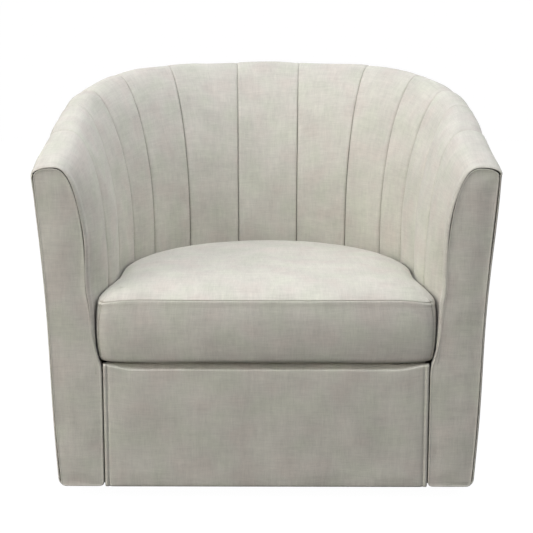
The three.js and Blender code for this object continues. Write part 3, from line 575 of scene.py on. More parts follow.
def fabric_material(name, light, dark):
    """Cloth with slubs and bands of thicker yarn both ways, soft random clouds of tone and tint,
    painted shade in creases and gaps, and the yarns over and under each other as a bump."""
    material, tree, shader = node_material(name)
    n = Nodes(tree)
    uv = n.add("ShaderNodeUVMap", uv_map="Weave").outputs[0]

    def crossed(along, across, roughness):
        weft = n.noise(n.scaled(uv, (along, across, 1)), 1.0, 2.0, roughness)
        warp = n.noise(n.scaled(uv, (across, along, 1)), 1.0, 2.0, roughness)
        return n.weighted((weft, 0.5), (warp, 0.5))

    yarns = crossed(*SLUB_RATES, 0.55)
    bands = crossed(*BAND_RATES, 0.5)
    cloud = n.noise(uv, CLOUD_RATE, 2.0, 0.5)
    patch = n.noise(uv, PATCH_RATE, 1.0, 0.4)
    shade = n.weighted((yarns, 0.42), (bands, 0.30), (cloud, 0.28))
    base = n.ramp(shade, [(0.38, dark), (0.62, light)])
    colour = n.blend("MULTIPLY", 1.0, base, n.ramp(patch, PATCH_TINTS))
    # painted shade: the colour is darkened wherever other surfaces are near, in creases, seams and
    # gaps
    crease_occlusion = n.add("ShaderNodeAmbientOcclusion", {"Distance": CREASE_SHADE_REACH}, samples=CREASE_SHADE_SAMPLES)
    shadow = n.ramp(crease_occlusion.outputs["AO"], [(0.10, CREASE_SHADE_COLOUR), (0.55, (1, 1, 1))])
    waves = {
        "Vector": uv, "Scale": WEAVE_RATE, "Distortion": 1.2, "Detail": 1.0, "Detail Scale": 2.0,
    }
    over = n.add("ShaderNodeTexWave", waves, bands_direction="X").outputs["Fac"]
    under = n.add("ShaderNodeTexWave", waves, bands_direction="Y").outputs["Fac"]
    weave = n.math("MULTIPLY", over, under)
    height = n.math("ADD", n.math("MULTIPLY", weave, 0.5), yarns)
    n.set_all(shader, {
        "Base Color": n.blend("MULTIPLY", 1.0, colour, shadow),
        "Roughness": 0.92,
        "Specular IOR Level": 0.15,
        "Sheen Weight": 0.25,
        "Sheen Roughness": 0.4,
        "Normal": n.bump(0.5, WEAVE_HEIGHT, height),
    })
    return material


def wood_material(name, light, dark):
    """Wood with its grain along Y."""
    material, tree, shader = node_material(name)
    n = Nodes(tree)
    place = n.add("ShaderNodeTexCoord").outputs["Object"]
    grain = n.noise(n.scaled(place, GRAIN_RATES), 1.0, 5.0, 0.6, 0.4)
    figure = n.noise(n.scaled(place, FIGURE_RATES), 1.0, 3.0, 0.5, 0.6)
    both = n.weighted((grain, 0.55), (figure, 0.45))
    n.set_all(shader, {
        "Base Color": n.ramp(both, [(0.38, dark), (0.62, light)]),
        "Roughness": 0.62,
        "Normal": n.bump(0.25, 0.0004, grain),
    })
    return material


def grained_material(name, light, dark, scale, roughness, metallic=0.0, bump_depth=0.0002):
    """A moulded, painted or plated surface with a fine mottle."""
    material, tree, shader = node_material(name)
    n = Nodes(tree)
    place = n.add("ShaderNodeTexCoord").outputs["Object"]
    fine = n.noise(place, scale, 4.0, 0.6)
    worn = n.noise(place, scale * WORN_SHARE, 3.0, 0.5)
    both = n.weighted((fine, 0.5), (worn, 0.5))
    rough = n.add("ShaderNodeMapRange", {
        "Value": worn, "From Min": 0.3, "From Max": 0.7,
        "To Min": roughness * 0.8, "To Max": min(roughness * 1.2, 1.0),
    })
    n.set_all(shader, {
        "Base Color": n.ramp(both, [(0.35, dark), (0.65, light)]),
        "Roughness": rough.outputs[0],
        "Metallic": metallic,
        "Normal": n.bump(0.3, bump_depth, fine),
    })
    return material


FABRIC = fabric_material("upholstery", (0.655, 0.643, 0.567), (0.505, 0.497, 0.437))
WOOD = wood_material("plywood", (0.66, 0.46, 0.26), (0.50, 0.32, 0.16))
STEEL = grained_material("zinc_steel", (0.62, 0.63, 0.64), (0.42, 0.43, 0.44), 260, 0.36, 0.95)
SPRING_STEEL = grained_material(
    "spring_steel", (0.30, 0.30, 0.31), (0.20, 0.20, 0.21), 400, 0.42, 0.9
)
BLACK_BOARD = grained_material(
    "black_board", (0.030, 0.029, 0.028), (0.016, 0.015, 0.015), 420, 0.55
)
BLACK_CLOTH = grained_material(
    "black_cloth", (0.034, 0.034, 0.036), (0.018, 0.018, 0.02), 900, 0.95
)
NYLON = grained_material("nylon", (0.040, 0.040, 0.044), (0.028, 0.028, 0.03), 500, 0.45)
DECK_CLOTH = grained_material("deck_cloth", (0.60, 0.575, 0.51), (0.52, 0.495, 0.435), 700, 0.95)
FOAM = grained_material("foam", (0.80, 0.72, 0.50), (0.68, 0.60, 0.38), 300, 0.95, 0.0, 0.0006)


# Inside upholstery: thirteen channels

WALL_COLUMNS = 22
CHANNEL_CLOTH_STEP = (0.31, 0.17)  # in the cloth, from one channel's place in it to the next
SILL_REACH = 0.060  # over which the padded face draws in to the sill near the arm's front
SILL_FADE = 0.060  # height above the apron over which the arm's front end gains its bulge
WRAP_START_SHARES = (0.35, 0.7, 1)  # places of columns from the wall's front end to the wrap
WRAP_COLUMNS = 8
PADDING_ROW_SHARES = [0, 0.5, 0.8, 1]  # where up the wall the thickness of a channel is given
PADDING_THICKNESSES = [0.014, 0.014, 0.009, 0.002]
CHANNEL_UNEVEN = Ripple(0.12, 0.16, 11)  # how much a channel's fall to its seams varies
CHANNEL_PUCKER = Ripple(0.0003, 0.028, 40)
PUCKER_STRETCH = [1, 1, 2.2]  # puckers lie across the seams
PUCKER_REACH = 0.012
CHANNEL_SOFT = Ripple(0.0006, 0.11, 70)
SEAM_REACH = 0.01  # from a seam to where puckers and softness have their full depth


def front_surface_x(z):
    """Inner surface of the arm at its front, below the seat's height."""
    return sill_x(z) - CHANNEL_BULGE * eased((z - APRON_TOP) / SILL_FADE)


def draw_in_sill(grid):
    """The padded face drawn in to the sill near the arm's front."""
    near = eased((FRONT_Y + SILL_REACH - grid[..., 1]) / SILL_REACH)
    full = SEAT_WIDTH / 2 + ARM_FLARE - CHANNEL_BULGE
    pull = np.where(grid[..., 2] < SEAT_HEIGHT, full - front_surface_x(grid[..., 2]), 0) * near
    drawn = grid.copy()
    drawn[..., 0] -= np.sign(grid[..., 0]) * pull
    return drawn


def section_plane(column):
    """A column of points at the arm's front as (x, z) on the right, with its outward normals, which
    stay level where the padding tucks in under the rim's edge."""
    flat = np.abs(column[:, [0, 2]])
    tangent = unit(np.gradient(flat, axis=0))
    tucked = (tangent[:, 1] < 0) & (tangent[:, 0] < 0) & (flat[:, 1] > SEAT_HEIGHT)
    normal = np.stack([-tangent[:, 1], tangent[:, 0]], -1)
    normal[tucked] = [1, 0]
    return flat, normal


def wrap_share(normal):
    """The wrap's width across the front, as a share of its radius: less where it faces up or out."""
    facing = eased(normal[:, 1]) + eased(normal[:, 0])
    return mix(1, TOP_WRAP_SHARE, np.minimum(facing, 1))[:, None]


def carried_round(panels, side, plane, narrow, thickness):
    """A panel's face and back grids, carried on to the arm's front on a side, -1 or 1, and round
    it. The plane is the panel's front edge as (x, z) on the right, with its outward normals."""
    flat, normal = plane
    wrap_y = FRONT_Y + WRAP_RADIUS
    steps = [(0, mix(WALL_FRONT_Y, wrap_y, share)) for share in WRAP_START_SHARES]
    for turned, ahead in quarter_turn(WRAP_COLUMNS)[1:]:
        steps.append((WRAP_RADIUS * turned, wrap_y - WRAP_RADIUS * ahead))
    steps.append((WRAP_RADIUS + SEAM_HALF / 2, FRONT_Y + SEAM_HALF))
    steps.append((WRAP_RADIUS + SEAM_HALF, FRONT_Y + WRAP_RADIUS))

    def placed(inset, y):
        moved = lowered(flat - normal * inset, y)
        return np.stack([side * moved[:, 0], np.full(len(flat), y), moved[:, 1]], -1)

    face, back = [], []
    for inset, y in steps:
        inset = inset * narrow
        face.append(placed(inset, y))
        back.append(placed(np.maximum(thickness, inset + SEAM_HALF), max(y, wrap_y)))
    carried = []
    for panel, columns in zip(panels, (face, back)):
        more = np.array(columns).swapaxes(0, 1)
        joined = [panel, more] if side > 0 else [more[:, ::-1], panel]
        carried.append(np.concatenate(joined, 1))
    return carried


def end_column(grid, side):
    return grid[:, -1 if side > 0 else 0]


def channel_grids(number):
    """The face and the back of one channel: rows up the wall, columns from left to right."""
    right = np.array([SEAT_SEAM_SHARES, RIM_SEAM_SHARES]).T
    seams = np.concatenate([[[-1, -1]], -right[::-1], right, [[1, 1]]])
    start, end = seams[number - 1], seams[number]
    left_end, right_end = start[0] == -1, end[0] == 1
    places = fine_ended((end[0] - start[0]) * plan_length(SEAT), WALL_COLUMNS)
    sections = [wall_section(*mix(start, end, place)) for place in places]
    grid, bulge, depth = (np.array(part).swapaxes(0, 1) for part in zip(*sections))
    normals = -grid_normals(grid)
    up = np.linspace(0, 1, len(grid))
    thickness = np.interp(up, PADDING_ROW_SHARES, PADDING_THICKNESSES)
    back = grid - normals * thickness[:, None, None]
    widths = np.linalg.norm(grid[:, -1] - grid[:, 0], axis=-1)[:, None]
    nearest = seam_distance(places, widths, left_end, right_end)
    across = 2 * places - 1
    if left_end:
        across = np.maximum(across, 0)
    if right_end:
        across = np.minimum(across, 0)
    uneven = 1 + rippled(grid, CHANNEL_UNEVEN, number)
    fall = SEAM_DIP * across**2 * uneven + seam_fall(nearest, SEAM_ROLL)
    pucker = rippled(grid * PUCKER_STRETCH, CHANNEL_PUCKER, number)
    pucker = pucker * np.exp(-nearest / PUCKER_REACH)
    soft = rippled(grid, CHANNEL_SOFT, number)
    shift = CHANNEL_BULGE * bulge - fall * depth + (pucker + soft) * eased(nearest / SEAM_REACH)
    grid = draw_in_sill(grid + normals * shift[..., None])
    for side, at_front in ((-1, left_end), (1, right_end)):
        if at_front:
            plane = section_plane(end_column(grid, side))
            narrow = wrap_share(plane[1])
            grid, back = carried_round((grid, back), side, plane, narrow, thickness[:, None])
    return grid, back


def build_channels():
    for number in range(1, 2 * len(SEAT_SEAM_SHARES) + 2):
        face, back = channel_grids(number)
        node = f"channel_{number:02d}"
        cloth_place = np.array(CHANNEL_CLOTH_STEP) * number
        piece = slab(f"padded_{node}", face, back, FABRIC, cloth_place)
        stand_in(piece, node)


# Arm facings

FACING_CORNER = 0.006  # reach over which its corners are rounded
CORNER_STEPS = 4  # points of its outline within that reach
FACING_ACROSS = 16
FACING_UP = 120
FACING_SPLIT = 0.020  # how far below its crest the facing's inner side ends
FACING_OUTER_POINTS = 40
FACING_BACK = 0.016  # from the front plane to its back
FACING_BACK_INSET = 0.003
RIDGE = 0.0028  # width of the seam's ridge round the facing
# How far in from the edge, and how far out from the front plane, each ring of the facing lies
FACING_RINGS = [
    (0.0004, -FACING_BACK), (0.0003, -0.006), (0.0004, -0.0034), (0.0007, -0.0018),
    (0.0012, -0.0004), (0.002, 0.0003), (RIDGE, 0.0003), (RIDGE + 0.0009, -0.0002),
    (RIDGE + 0.002, -0.0003),
]
FACING_SWELL = 0.0022
FACING_SWELL_REACH = 0.03
FACING_SOFT = Ripple(0.0005, 0.07, 5)
FACING_EDGE_REACH = 0.006  # from its edge to where it swells in full


def outer_x(z):
    """The outside cover's surface at the arm's front."""
    share = (z - HEM_Z) / (ARM_EDGE_HEIGHT - HEM_Z)
    return mix(FOOT_WIDTH, OVERALL_WIDTH, share) / 2 + fullness(share)


def facing_outline():
    """The right facing's edge in (x, z), inside the fabric that wraps round the arm, as four sides:
    bottom, outer side, top and inner side."""
    points, bulge, _ = wall_section(1, 1)
    flat, normal = section_plane(points)
    flat = flat + normal * (CHANNEL_BULGE * bulge)[:, None]
    low = flat[:, 1] < SEAT_HEIGHT
    flat[:, 0] = np.where(low, front_surface_x(flat[:, 1]), flat[:, 0])
    _, normal = section_plane(np.insert(flat, 1, 0, axis=1))
    wrapped = eased((flat[:, 1] - APRON_TOP) / SILL_FADE)[:, None]
    inset = (WRAP_RADIUS + SEAM_HALF) * wrap_share(normal) * wrapped
    inner = lowered(flat - normal * inset, FRONT_Y)
    outer_inset = WRAP_RADIUS * TOP_WRAP_SHARE + SEAM_HALF
    inner = inner[: np.argmax(inner[:, 0] > outer_x(inner[:, 1]) - outer_inset)]
    crest = inner[:, 1].max()
    top = inner[inner[:, 1] > crest - FACING_SPLIT][::-1]
    side = inner[inner[:, 1] <= crest - FACING_SPLIT][::-1]
    side = np.concatenate([top[-1:], side, [[front_surface_x(HEM_Z), HEM_Z]]])
    rise = np.linspace(HEM_Z, top[0][1], FACING_OUTER_POINTS)
    outer = np.stack([outer_x(rise) - outer_inset, rise], -1)
    sides = [np.array([side[-1], outer[0]]), outer, np.concatenate([outer[-1:], top]), side]
    return rounded_sides(sides, FACING_CORNER)


def rounded_sides(sides, reach):
    """Four sides of a loop again, with the loop's corners rounded over a reach."""
    step = reach / CORNER_STEPS
    counts = [int(lengths_along(line)[-1] / step) for line in sides]
    loop = np.concatenate([resampled(line, count + 1)[:-1] for line, count in zip(sides, counts)])
    half = 4 * CORNER_STEPS
    loop = averaged(np.concatenate([loop[-half:], loop, loop[:half]]), CORNER_STEPS, half)
    ends = np.cumsum([0, *counts])
    loop = np.concatenate([loop, loop[:1]])
    return [loop[a : b + 1] for a, b in zip(ends, ends[1:])]


def offset_loop(loop, inset):
    """A counterclockwise loop moved in by a distance, with mitred corners."""
    before = unit(loop - np.roll(loop, 1, 0))
    after = unit(np.roll(loop, -1, 0) - loop)
    normals = [np.stack([-edge[:, 1], edge[:, 0]], -1) for edge in (before, after)]
    turn = 1 + (normals[0] * normals[1]).sum(-1, keepdims=True)
    return loop + (normals[0] + normals[1]) / turn * inset


def build_facing(side, node):
    bottom, outer, top, inner = facing_outline()
    counts = (FACING_ACROSS, FACING_UP, FACING_ACROSS, FACING_UP)
    loop = np.concatenate([
        resampled(line, count + 1)[:-1] for line, count in zip((bottom, outer, top, inner), counts)
    ])
    back = offset_loop(loop, FACING_BACK_INSET)
    rings = [np.stack([back[:, 0], np.full(len(back), FRONT_Y + FACING_BACK), back[:, 1]], -1)]
    for inset, push in FACING_RINGS:
        ring = offset_loop(loop, inset)
        ring = np.stack([ring[:, 0], np.full(len(ring), FRONT_Y - push), ring[:, 1]], -1)
        rings.append(ring)

    def puffed(grid):
        edge = np.concatenate([grid[0], grid[-1], grid[:, 0], grid[:, -1]])[:, [0, 2]]
        flat = grid[..., [0, 2]]
        nearest = np.linalg.norm(flat[..., None, :] - edge, axis=-1).min(-1)
        swell = FACING_SWELL * eased(nearest / FACING_SWELL_REACH)
        swell = swell + rippled(grid, FACING_SOFT, int(side < 0))
        grid = grid.copy()
        grid[..., 1] -= swell * eased(nearest / FACING_EDGE_REACH)
        return grid

    rings = [ring * [side, 1, 1] for ring in rings]
    caps = (lambda grid: grid, puffed)
    piece = capped(f"padded_{node}", rings, FACING_ACROSS, FACING_UP, FABRIC, caps, axes=(0, 2))
    stand_in(piece, node)


# Front apron

APRON_ROLL = 0.004
APRON_RECESS = 0.0150  # how far the strip under the cushion stands back from the apron's face
APRON_DROP = 0.0085  # how far the apron's face ends below its top
APRON_DROP_REACH = 0.060
APRON_COLUMNS = 60
APRON_ROWS = 30
APRON_FACE_START = 0.010  # height of its first row above the hem
APRON_CLOTH_PLACE = (0.4, 2.1)
APRON_BACK = 0.017  # from the front plane to its back
APRON_SEAT = 0.0005  # how far its back stays within its top and bottom
APRON_SWELL = 0.0014
APRON_SOFT = Ripple(0.0007, 0.12, 21)
APRON_SIDE_REACH = 0.05  # from its edges to where it swells in full, across and up
APRON_END_REACH = 0.03
# Rows under its face and over it, up its recess: inset from the face, and height past its end
APRON_UNDER_ROWS = [(0.010, 0.0004), (0.005, 0)]
APRON_OVER_ROWS = [
    (APRON_RECESS, APRON_ROLL + 0.0006), (APRON_RECESS + 0.001, 0.008), (APRON_RECESS + 0.003, 0.012),
]
APRON_ROLL_ROWS = 7
APRON_FOOT_ROWS = 5
APRON_FOOT_START = 0.25  # radians of its roll, where the first of them lies
# The apron's edge: distance from its side, and how far out from the front plane it stands there
WELT_PROFILE = [
    (0, -0.006), (0.0005, -0.0034), (0.0012, -0.0014), (0.0024, 0.0002), (0.0042, 0.0009),
    (0.006, 0.0006), (0.0075, -0.0004), (0.0085, -0.0016), (0.0095, -0.0012), (0.011, 0.0001),
    (0.014, 0.0007), (0.02, 0.001),
]


def build_apron():
    low, high = (np.array(corner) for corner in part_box("front_apron"))
    half = APRON_HALF_WIDTH
    places, heights = zip(*WELT_PROFILE)
    x = half * (2 * fine_ended(2 * half, APRON_COLUMNS, places[1:]) - 1)
    from_side = half - np.abs(x)
    welt = np.interp(from_side, places, heights)
    face_top = high[2] - APRON_DROP * eased(from_side / APRON_DROP_REACH)
    # Each row's inset from the face, its height above the hem or past the face's top, and its share
    # of the way up the face
    rows = [[inset, rise, 0] for inset, rise in APRON_UNDER_ROWS]
    for angle in np.linspace(APRON_FOOT_START, math.pi / 2, APRON_FOOT_ROWS):
        rows.append([APRON_ROLL * (1 - math.sin(angle)), APRON_ROLL * (1 - math.cos(angle)), 0])
    rows += [[0, APRON_FACE_START, share] for share in np.linspace(0, 1, APRON_ROWS)]
    for turned, up in quarter_turn(APRON_ROLL_ROWS)[1:]:
        rows.append([APRON_ROLL * turned, APRON_ROLL * up, 1])
    rows += [[inset, rise, 1] for inset, rise in APRON_OVER_ROWS]
    inset, rise, up = np.array(rows).T[..., None]
    grid = np.zeros((len(rows), len(x), 3))
    grid[..., 0] = x
    grid[..., 1] = FRONT_Y + inset - welt
    upper = face_top - APRON_ROLL
    past = upper + np.where(inset > 0, rise, 0)
    grid[..., 2] = np.minimum(np.where(up < 1, mix(low[2] + rise, upper, up), past), high[2])
    z = grid[..., 2]
    middle = eased(from_side / APRON_SIDE_REACH) * eased((z - low[2]) / APRON_END_REACH)
    soft = rippled(grid, APRON_SOFT) + APRON_SWELL
    grid[..., 1] -= soft * middle * eased((high[2] - z) / APRON_END_REACH)
    back = grid.copy()
    back[..., 1] = FRONT_Y + APRON_BACK
    back[..., 2] = np.clip(back[..., 2], low[2] + APRON_SEAT, high[2] - APRON_SEAT)
    piece = slab("padded_front_apron", grid, back, FABRIC, APRON_CLOTH_PLACE)
    stand_in(piece, "front_apron")


# Outside covers

COVER_THICKNESS = 0.004
FRONT_HEM_REACH = 0.05  # over which the hem's round grows towards the front
HEM_ROLL = 0.005
FRONT_HEM_ROLL = 0.015
HEM_LAP = 0.010  # how far a cover reaches in under its hem
HEM_ROWS = 8
COVER_ROWS = 62
COVER_STEP = 0.012  # between its columns
COVER_SEAM_ROLL = 0.0028
COVER_SOFT = Ripple(0.0009, 0.22, 31)
COVER_CLOTH_STEP = 0.23  # across the cloth, from one cover's place in it to the next
COVER_CLOTH_UP = 3.7
COVER_SOFT_STRETCH = [1, 1, 0.6]  # the cloth hangs in upright folds
COVER_SIDE_REACH = 0.03  # from its seams, hem and top to where they are at their full depth
COVER_HEM_REACH = 0.08
COVER_TOP_REACH = 0.05
COVER_END_PLACES = (0.0004, 0.001, 0.0018, 0.003, 0.006, 0.01)


def cover_column(share):
    """Points up the outside cover at a share of the plan, from under its hem to its top seam."""
    foot, rim = plan_point(FOOT, share), plan_point(RIM, share)
    top = edge_z(share) - TUCK - SEAM_HALF
    along = (1 - abs(share)) * plan_length(FOOT)
    roll = mix(FRONT_HEM_ROLL, HEM_ROLL, eased(along / FRONT_HEM_REACH))
    inward = unit(plan_point(SEAT, share) - rim)
    height = edge_z(share) - HEM_Z

    def at(z, inset=0.0):
        up = (z - HEM_Z) / height
        place = mix(foot, rim, up) + inward * (inset - fullness(up, share))
        return [*place, z]

    rows = [at(HEM_Z, roll + HEM_LAP)]
    rows += [at(HEM_Z + roll * up, roll * (1 - out)) for up, out in quarter_turn(HEM_ROWS)]
    rows += [at(z) for z in np.linspace(HEM_Z + roll, top - COVER_TUCK, COVER_ROWS)[1:]]
    for turned, up in quarter_turn(TUCK_ROWS)[1:]:
        rows.append(at(top - COVER_TUCK + COVER_TUCK * up, COVER_TUCK * turned))
    return np.array(rows)


def cover_plane(column):
    """A cover's front edge as (x, z) on the right, with its outward normals. It turns in towards
    the middle of the arm, which is up and in at the hem."""
    flat = np.abs(column[:, [0, 2]])
    tangent = unit(np.gradient(flat, axis=0))
    normal = np.stack([tangent[:, 1], -tangent[:, 0]], -1)
    normal[flat[:, 1] > SEAT_HEIGHT] = [1, 0]
    return flat, normal


def build_cover(node, start, end, number):
    length = (end - start) * plan_length(RIM)
    places = fine_ended(length, int(length / COVER_STEP), COVER_END_PLACES)
    shares = mix(start, end, places)
    grid = np.array([cover_column(share) for share in shares]).swapaxes(0, 1)
    normals = grid_normals(grid)
    widths = np.linalg.norm(np.diff(grid, axis=1), axis=-1).sum(1, keepdims=True)
    nearest = seam_distance(places, widths, start == -1, end == 1)
    edges = np.array([edge_z(share) for share in shares])
    soft = rippled(grid * COVER_SOFT_STRETCH, COVER_SOFT, number)
    soft = soft * eased(nearest / COVER_SIDE_REACH)
    hang = eased((grid[..., 2] - HEM_Z) / COVER_HEM_REACH)
    hang = hang * eased((edges - grid[..., 2]) / COVER_TOP_REACH)
    shift = soft * hang - seam_fall(nearest, COVER_SEAM_ROLL)
    back = grid - normals * COVER_THICKNESS
    grid = grid + normals * shift[..., None]
    for side, at_front in ((-1, start == -1), (1, end == 1)):
        if at_front:
            plane = cover_plane(end_column(grid, side))
            grid, back = carried_round((grid, back), side, plane, TOP_WRAP_SHARE, COVER_THICKNESS)
    cloth_place = (COVER_CLOTH_STEP * (COVER_SOFT.seed + number), COVER_CLOTH_UP)
    piece = slab(f"cloth_{node}", grid, back, FABRIC, cloth_place)
    stand_in(piece, node)


def build_covers():
    build_cover("outside_arm_left", -1, -BACK_SEAM_SHARE, 0)
    build_cover("outside_back", -BACK_SEAM_SHARE, BACK_SEAM_SHARE, 1)
    build_cover("outside_arm_right", BACK_SEAM_SHARE, 1, 2)


# Seat cushion

CUSHION_FRONT_Y = FRONT_Y - CUSHION_OVERHANG
CUSHION_RADIUS = SEAT.radius - CHANNEL_BULGE - CUSHION_SIDE_GAP
CUSHION_BACK_Y = SEAT.round_y + CUSHION_RADIUS
CUSHION_MIDDLE_Y = (CUSHION_FRONT_Y + CUSHION_BACK_Y) / 2
ARC_POINTS = 40  # of its outline, in an eighth of a turn at its back
LINE_POINTS = 60  # and along a side and half its front
CORNER_HALF_STEPS = 20  # and from a front corner's middle to each end of it
CUSHION_ACROSS = 84
CUSHION_SIDE = 66
CASE_THICKNESS = 0.0034  # from the surface of the case to the foam
CORNER_FINE = (0.0006, 0.0013, 0.0022, 0.0034, 0.005, 0.0075, 0.011)
FLARE_POWER = 1.1
CROWN_REACH_SHARE = 0.13  # of the way to the middle, over which the top mostly rises
CROWN_POWER = 0.92
FRONT_DROP = 0.0033  # how much lower the top seam lies along the front
FRONT_DROP_REACH = 0.12
CORNER_DROOP = 0.0075  # how far the top seam droops at the front corners
CORNER_DROOP_REACH = 0.085
CORNER_DROOP_POWER = 2.2
FRONT_SAG = 0.0024  # how much lower the underside's edge lies along the front
FRONT_EDGE_REACH = 0.004  # how far back from its front line the edge counts as the front
FRONT_SAG_START = 0.05  # from a front corner to where it sags in full
FRONT_SAG_FADE = (0.09, 0.12)  # from where and over what length most of the sag goes again
FRONT_SAG_FADE_SHARE = 0.8
FRONT_BULGE = 0.0042  # how much further out the band stands at its middle, along the front
# Where the band starts to bulge, between its sides at 0 and its front at 1, and over how much
FORWARD_START_SHARE = 0.3
FORWARD_REACH_SHARE = 0.5
BULGE_PLACE_SHARE = 0.48  # of the band's height, where it bulges most
TOP_SEAM_SHARE = 0.0095  # how far the cushion has narrowed at its top seam
UNDER_SEAM_SHARE = 0.0145  # and at its lower seam
DROOP_SPREAD_SHARE = 0.03  # how far in from its seam the droop spreads, and the sag
SAG_SPREAD_SHARE = 0.02
# Rings of the cushion: how far each has narrowed, as a share, its share of the height from the
# underside to the top seam, and how far it is sunk in for its seam
UNDERSIDE_RINGS = [
    (0.30, 0, 0), (0.20, 0, 0), (0.13, 0, 0), (0.08, 0, 0), (0.045, 0, 0), (0.026, 0.001, 0),
    (0.0185, 0.005, 0), (0.0145, 0.011, 0.0001), (0.0125, 0.017, 0.0010), (0.0115, 0.022, 0.0002),
    (0.0100, 0.032, 0),
]
BAND_RINGS = 26
BAND_SHARES = (0.05, 0.90)
# How the band narrows: by how much, twice the height at which it doesn't, and to what power
BAND_NARROWING = (0.0100, 0.94, 2.4)
TOP_SEAM_RINGS = [
    (0.0066, 0.93, -0.0001), (0.0072, 0.950, -0.0003), (0.0078, 0.962, -0.0004),
    (0.0084, 0.972, -0.0004), (0.0089, 0.981, -0.0002), (0.0095, 0.989, 0.0005),
    (0.0102, 0.994, 0.0016),
]
CROWN_RINGS = (0.0116, 0.0132, 0.016, 0.0205, 0.027, 0.037, 0.050, 0.068, 0.092, 0.125)
TOP_SOFT = Ripple(0.0012, 0.13, 51)
TOP_SOFT_REACH_SHARE = 0.12
# The band's upright seams: how deep and how wide each is, the lips beside it and the puckers
CORNER_SEAM_DEPTH = 0.0034
CORNER_SEAM_WIDTH = 0.0016
CORNER_FOOT_SHARE = 0.1  # of the band's height, over which each starts
CORNER_TOP_SHARE = 0.06  # and over which it ends
CORNER_LIP = 0.0009
CORNER_LIP_PLACE = 0.003
CORNER_PUCKER = 0.0012
CORNER_PUCKER_PITCH = 0.0075
CORNER_PUCKER_REACH = 0.005


def seat_outline(radius, front, corner, flare, bow, draw):
    """A D-shaped outline as four sides, counterclockwise from its front left corner. The corners
    of the four sides are the middles of its round front corners and two places on its back."""
    half_front = radius + flare - corner
    side_length = SEAT.round_y - front - bow - corner
    angles = np.linspace(0, math.pi / 4, ARC_POINTS)
    back = np.stack([radius * np.sin(angles), SEAT.round_y + radius * np.cos(angles)], -1)
    angles = np.linspace(math.pi / 4, math.pi / 2, ARC_POINTS)
    side = [np.stack([radius * np.sin(angles), SEAT.round_y + radius * np.cos(angles)], -1)]
    share = np.linspace(0, 1, LINE_POINTS)[1:]
    opened = np.maximum(1 - (1 - share) * side_length / CUSHION_FLARE_DEPTH, 0)
    x = radius + flare * opened**FLARE_POWER - draw * np.sin(share * math.pi)
    side.append(np.stack([x, SEAT.round_y - share * side_length], -1))
    angles = np.linspace(0, math.pi / 2, 2 * CORNER_HALF_STEPS + 1)
    arc = np.stack([
        half_front + corner * np.cos(angles), front + bow + corner * (1 - np.sin(angles)),
    ], -1)
    side.append(arc[1 : CORNER_HALF_STEPS + 1])
    side = np.concatenate(side)
    line = np.stack([half_front * (1 - share), front + bow * (1 - share) ** 2], -1)
    front_half = np.concatenate([arc[CORNER_HALF_STEPS:], line])
    mirror = np.array([-1, 1])
    return [
        np.concatenate([front_half * mirror, front_half[-2::-1]]),
        side[::-1],
        np.concatenate([back[::-1], back[1:] * mirror]),
        side * mirror,
    ]


def outline_loop(sides, across, side, fine):
    """A loop of points round four sides, closer together near the corners."""
    loop = []
    for line, count in zip(sides, (across, side, across, side)):
        length = lengths_along(line)[-1]
        places = fine_ended(length, count + 1 - 2 * len(fine), fine)
        loop.append(placed_along(line, places * length)[:-1])
    return np.concatenate(loop)


def crown(shrink):
    """How far the cushion's top has risen from its seam at a share of the way to the middle."""
    return 1 - np.exp(-((np.maximum(shrink, 0) / CROWN_REACH_SHARE) ** CROWN_POWER))


def seam_rise(y):
    """Height of the top seam's line over its height at the front, before the front's drop."""
    back = CUSHION_BACK_RISE * (y - CUSHION_FRONT_Y) / (CUSHION_BACK_Y - CUSHION_FRONT_Y)
    return back - FRONT_DROP * (1 - eased((y - CUSHION_FRONT_Y) / FRONT_DROP_REACH))


def corner_distance(loop):
    """Distance along a loop from its points to the nearer front corner."""
    along = lengths_along(np.concatenate([loop, loop[:1]]))
    whole = along[-1]
    reaches = []
    for corner in (0, CUSHION_ACROSS):
        distance = (along[:-1] - along[corner] + whole / 2) % whole - whole / 2
        reaches.append(np.abs(distance))
    return np.minimum(*reaches)


def forward_share(direction):
    """1 where the cushion's band faces forwards and 0 at its sides and back."""
    return eased((-direction[:, 1] - FORWARD_START_SHARE) / FORWARD_REACH_SHARE)


def front_hollow(side_share):
    """How far the band's front stands back from its bulge at a share of its height."""
    most = 2 * BULGE_PLACE_SHARE
    return FRONT_BULGE * min(abs(2 * side_share - most), most) ** 2


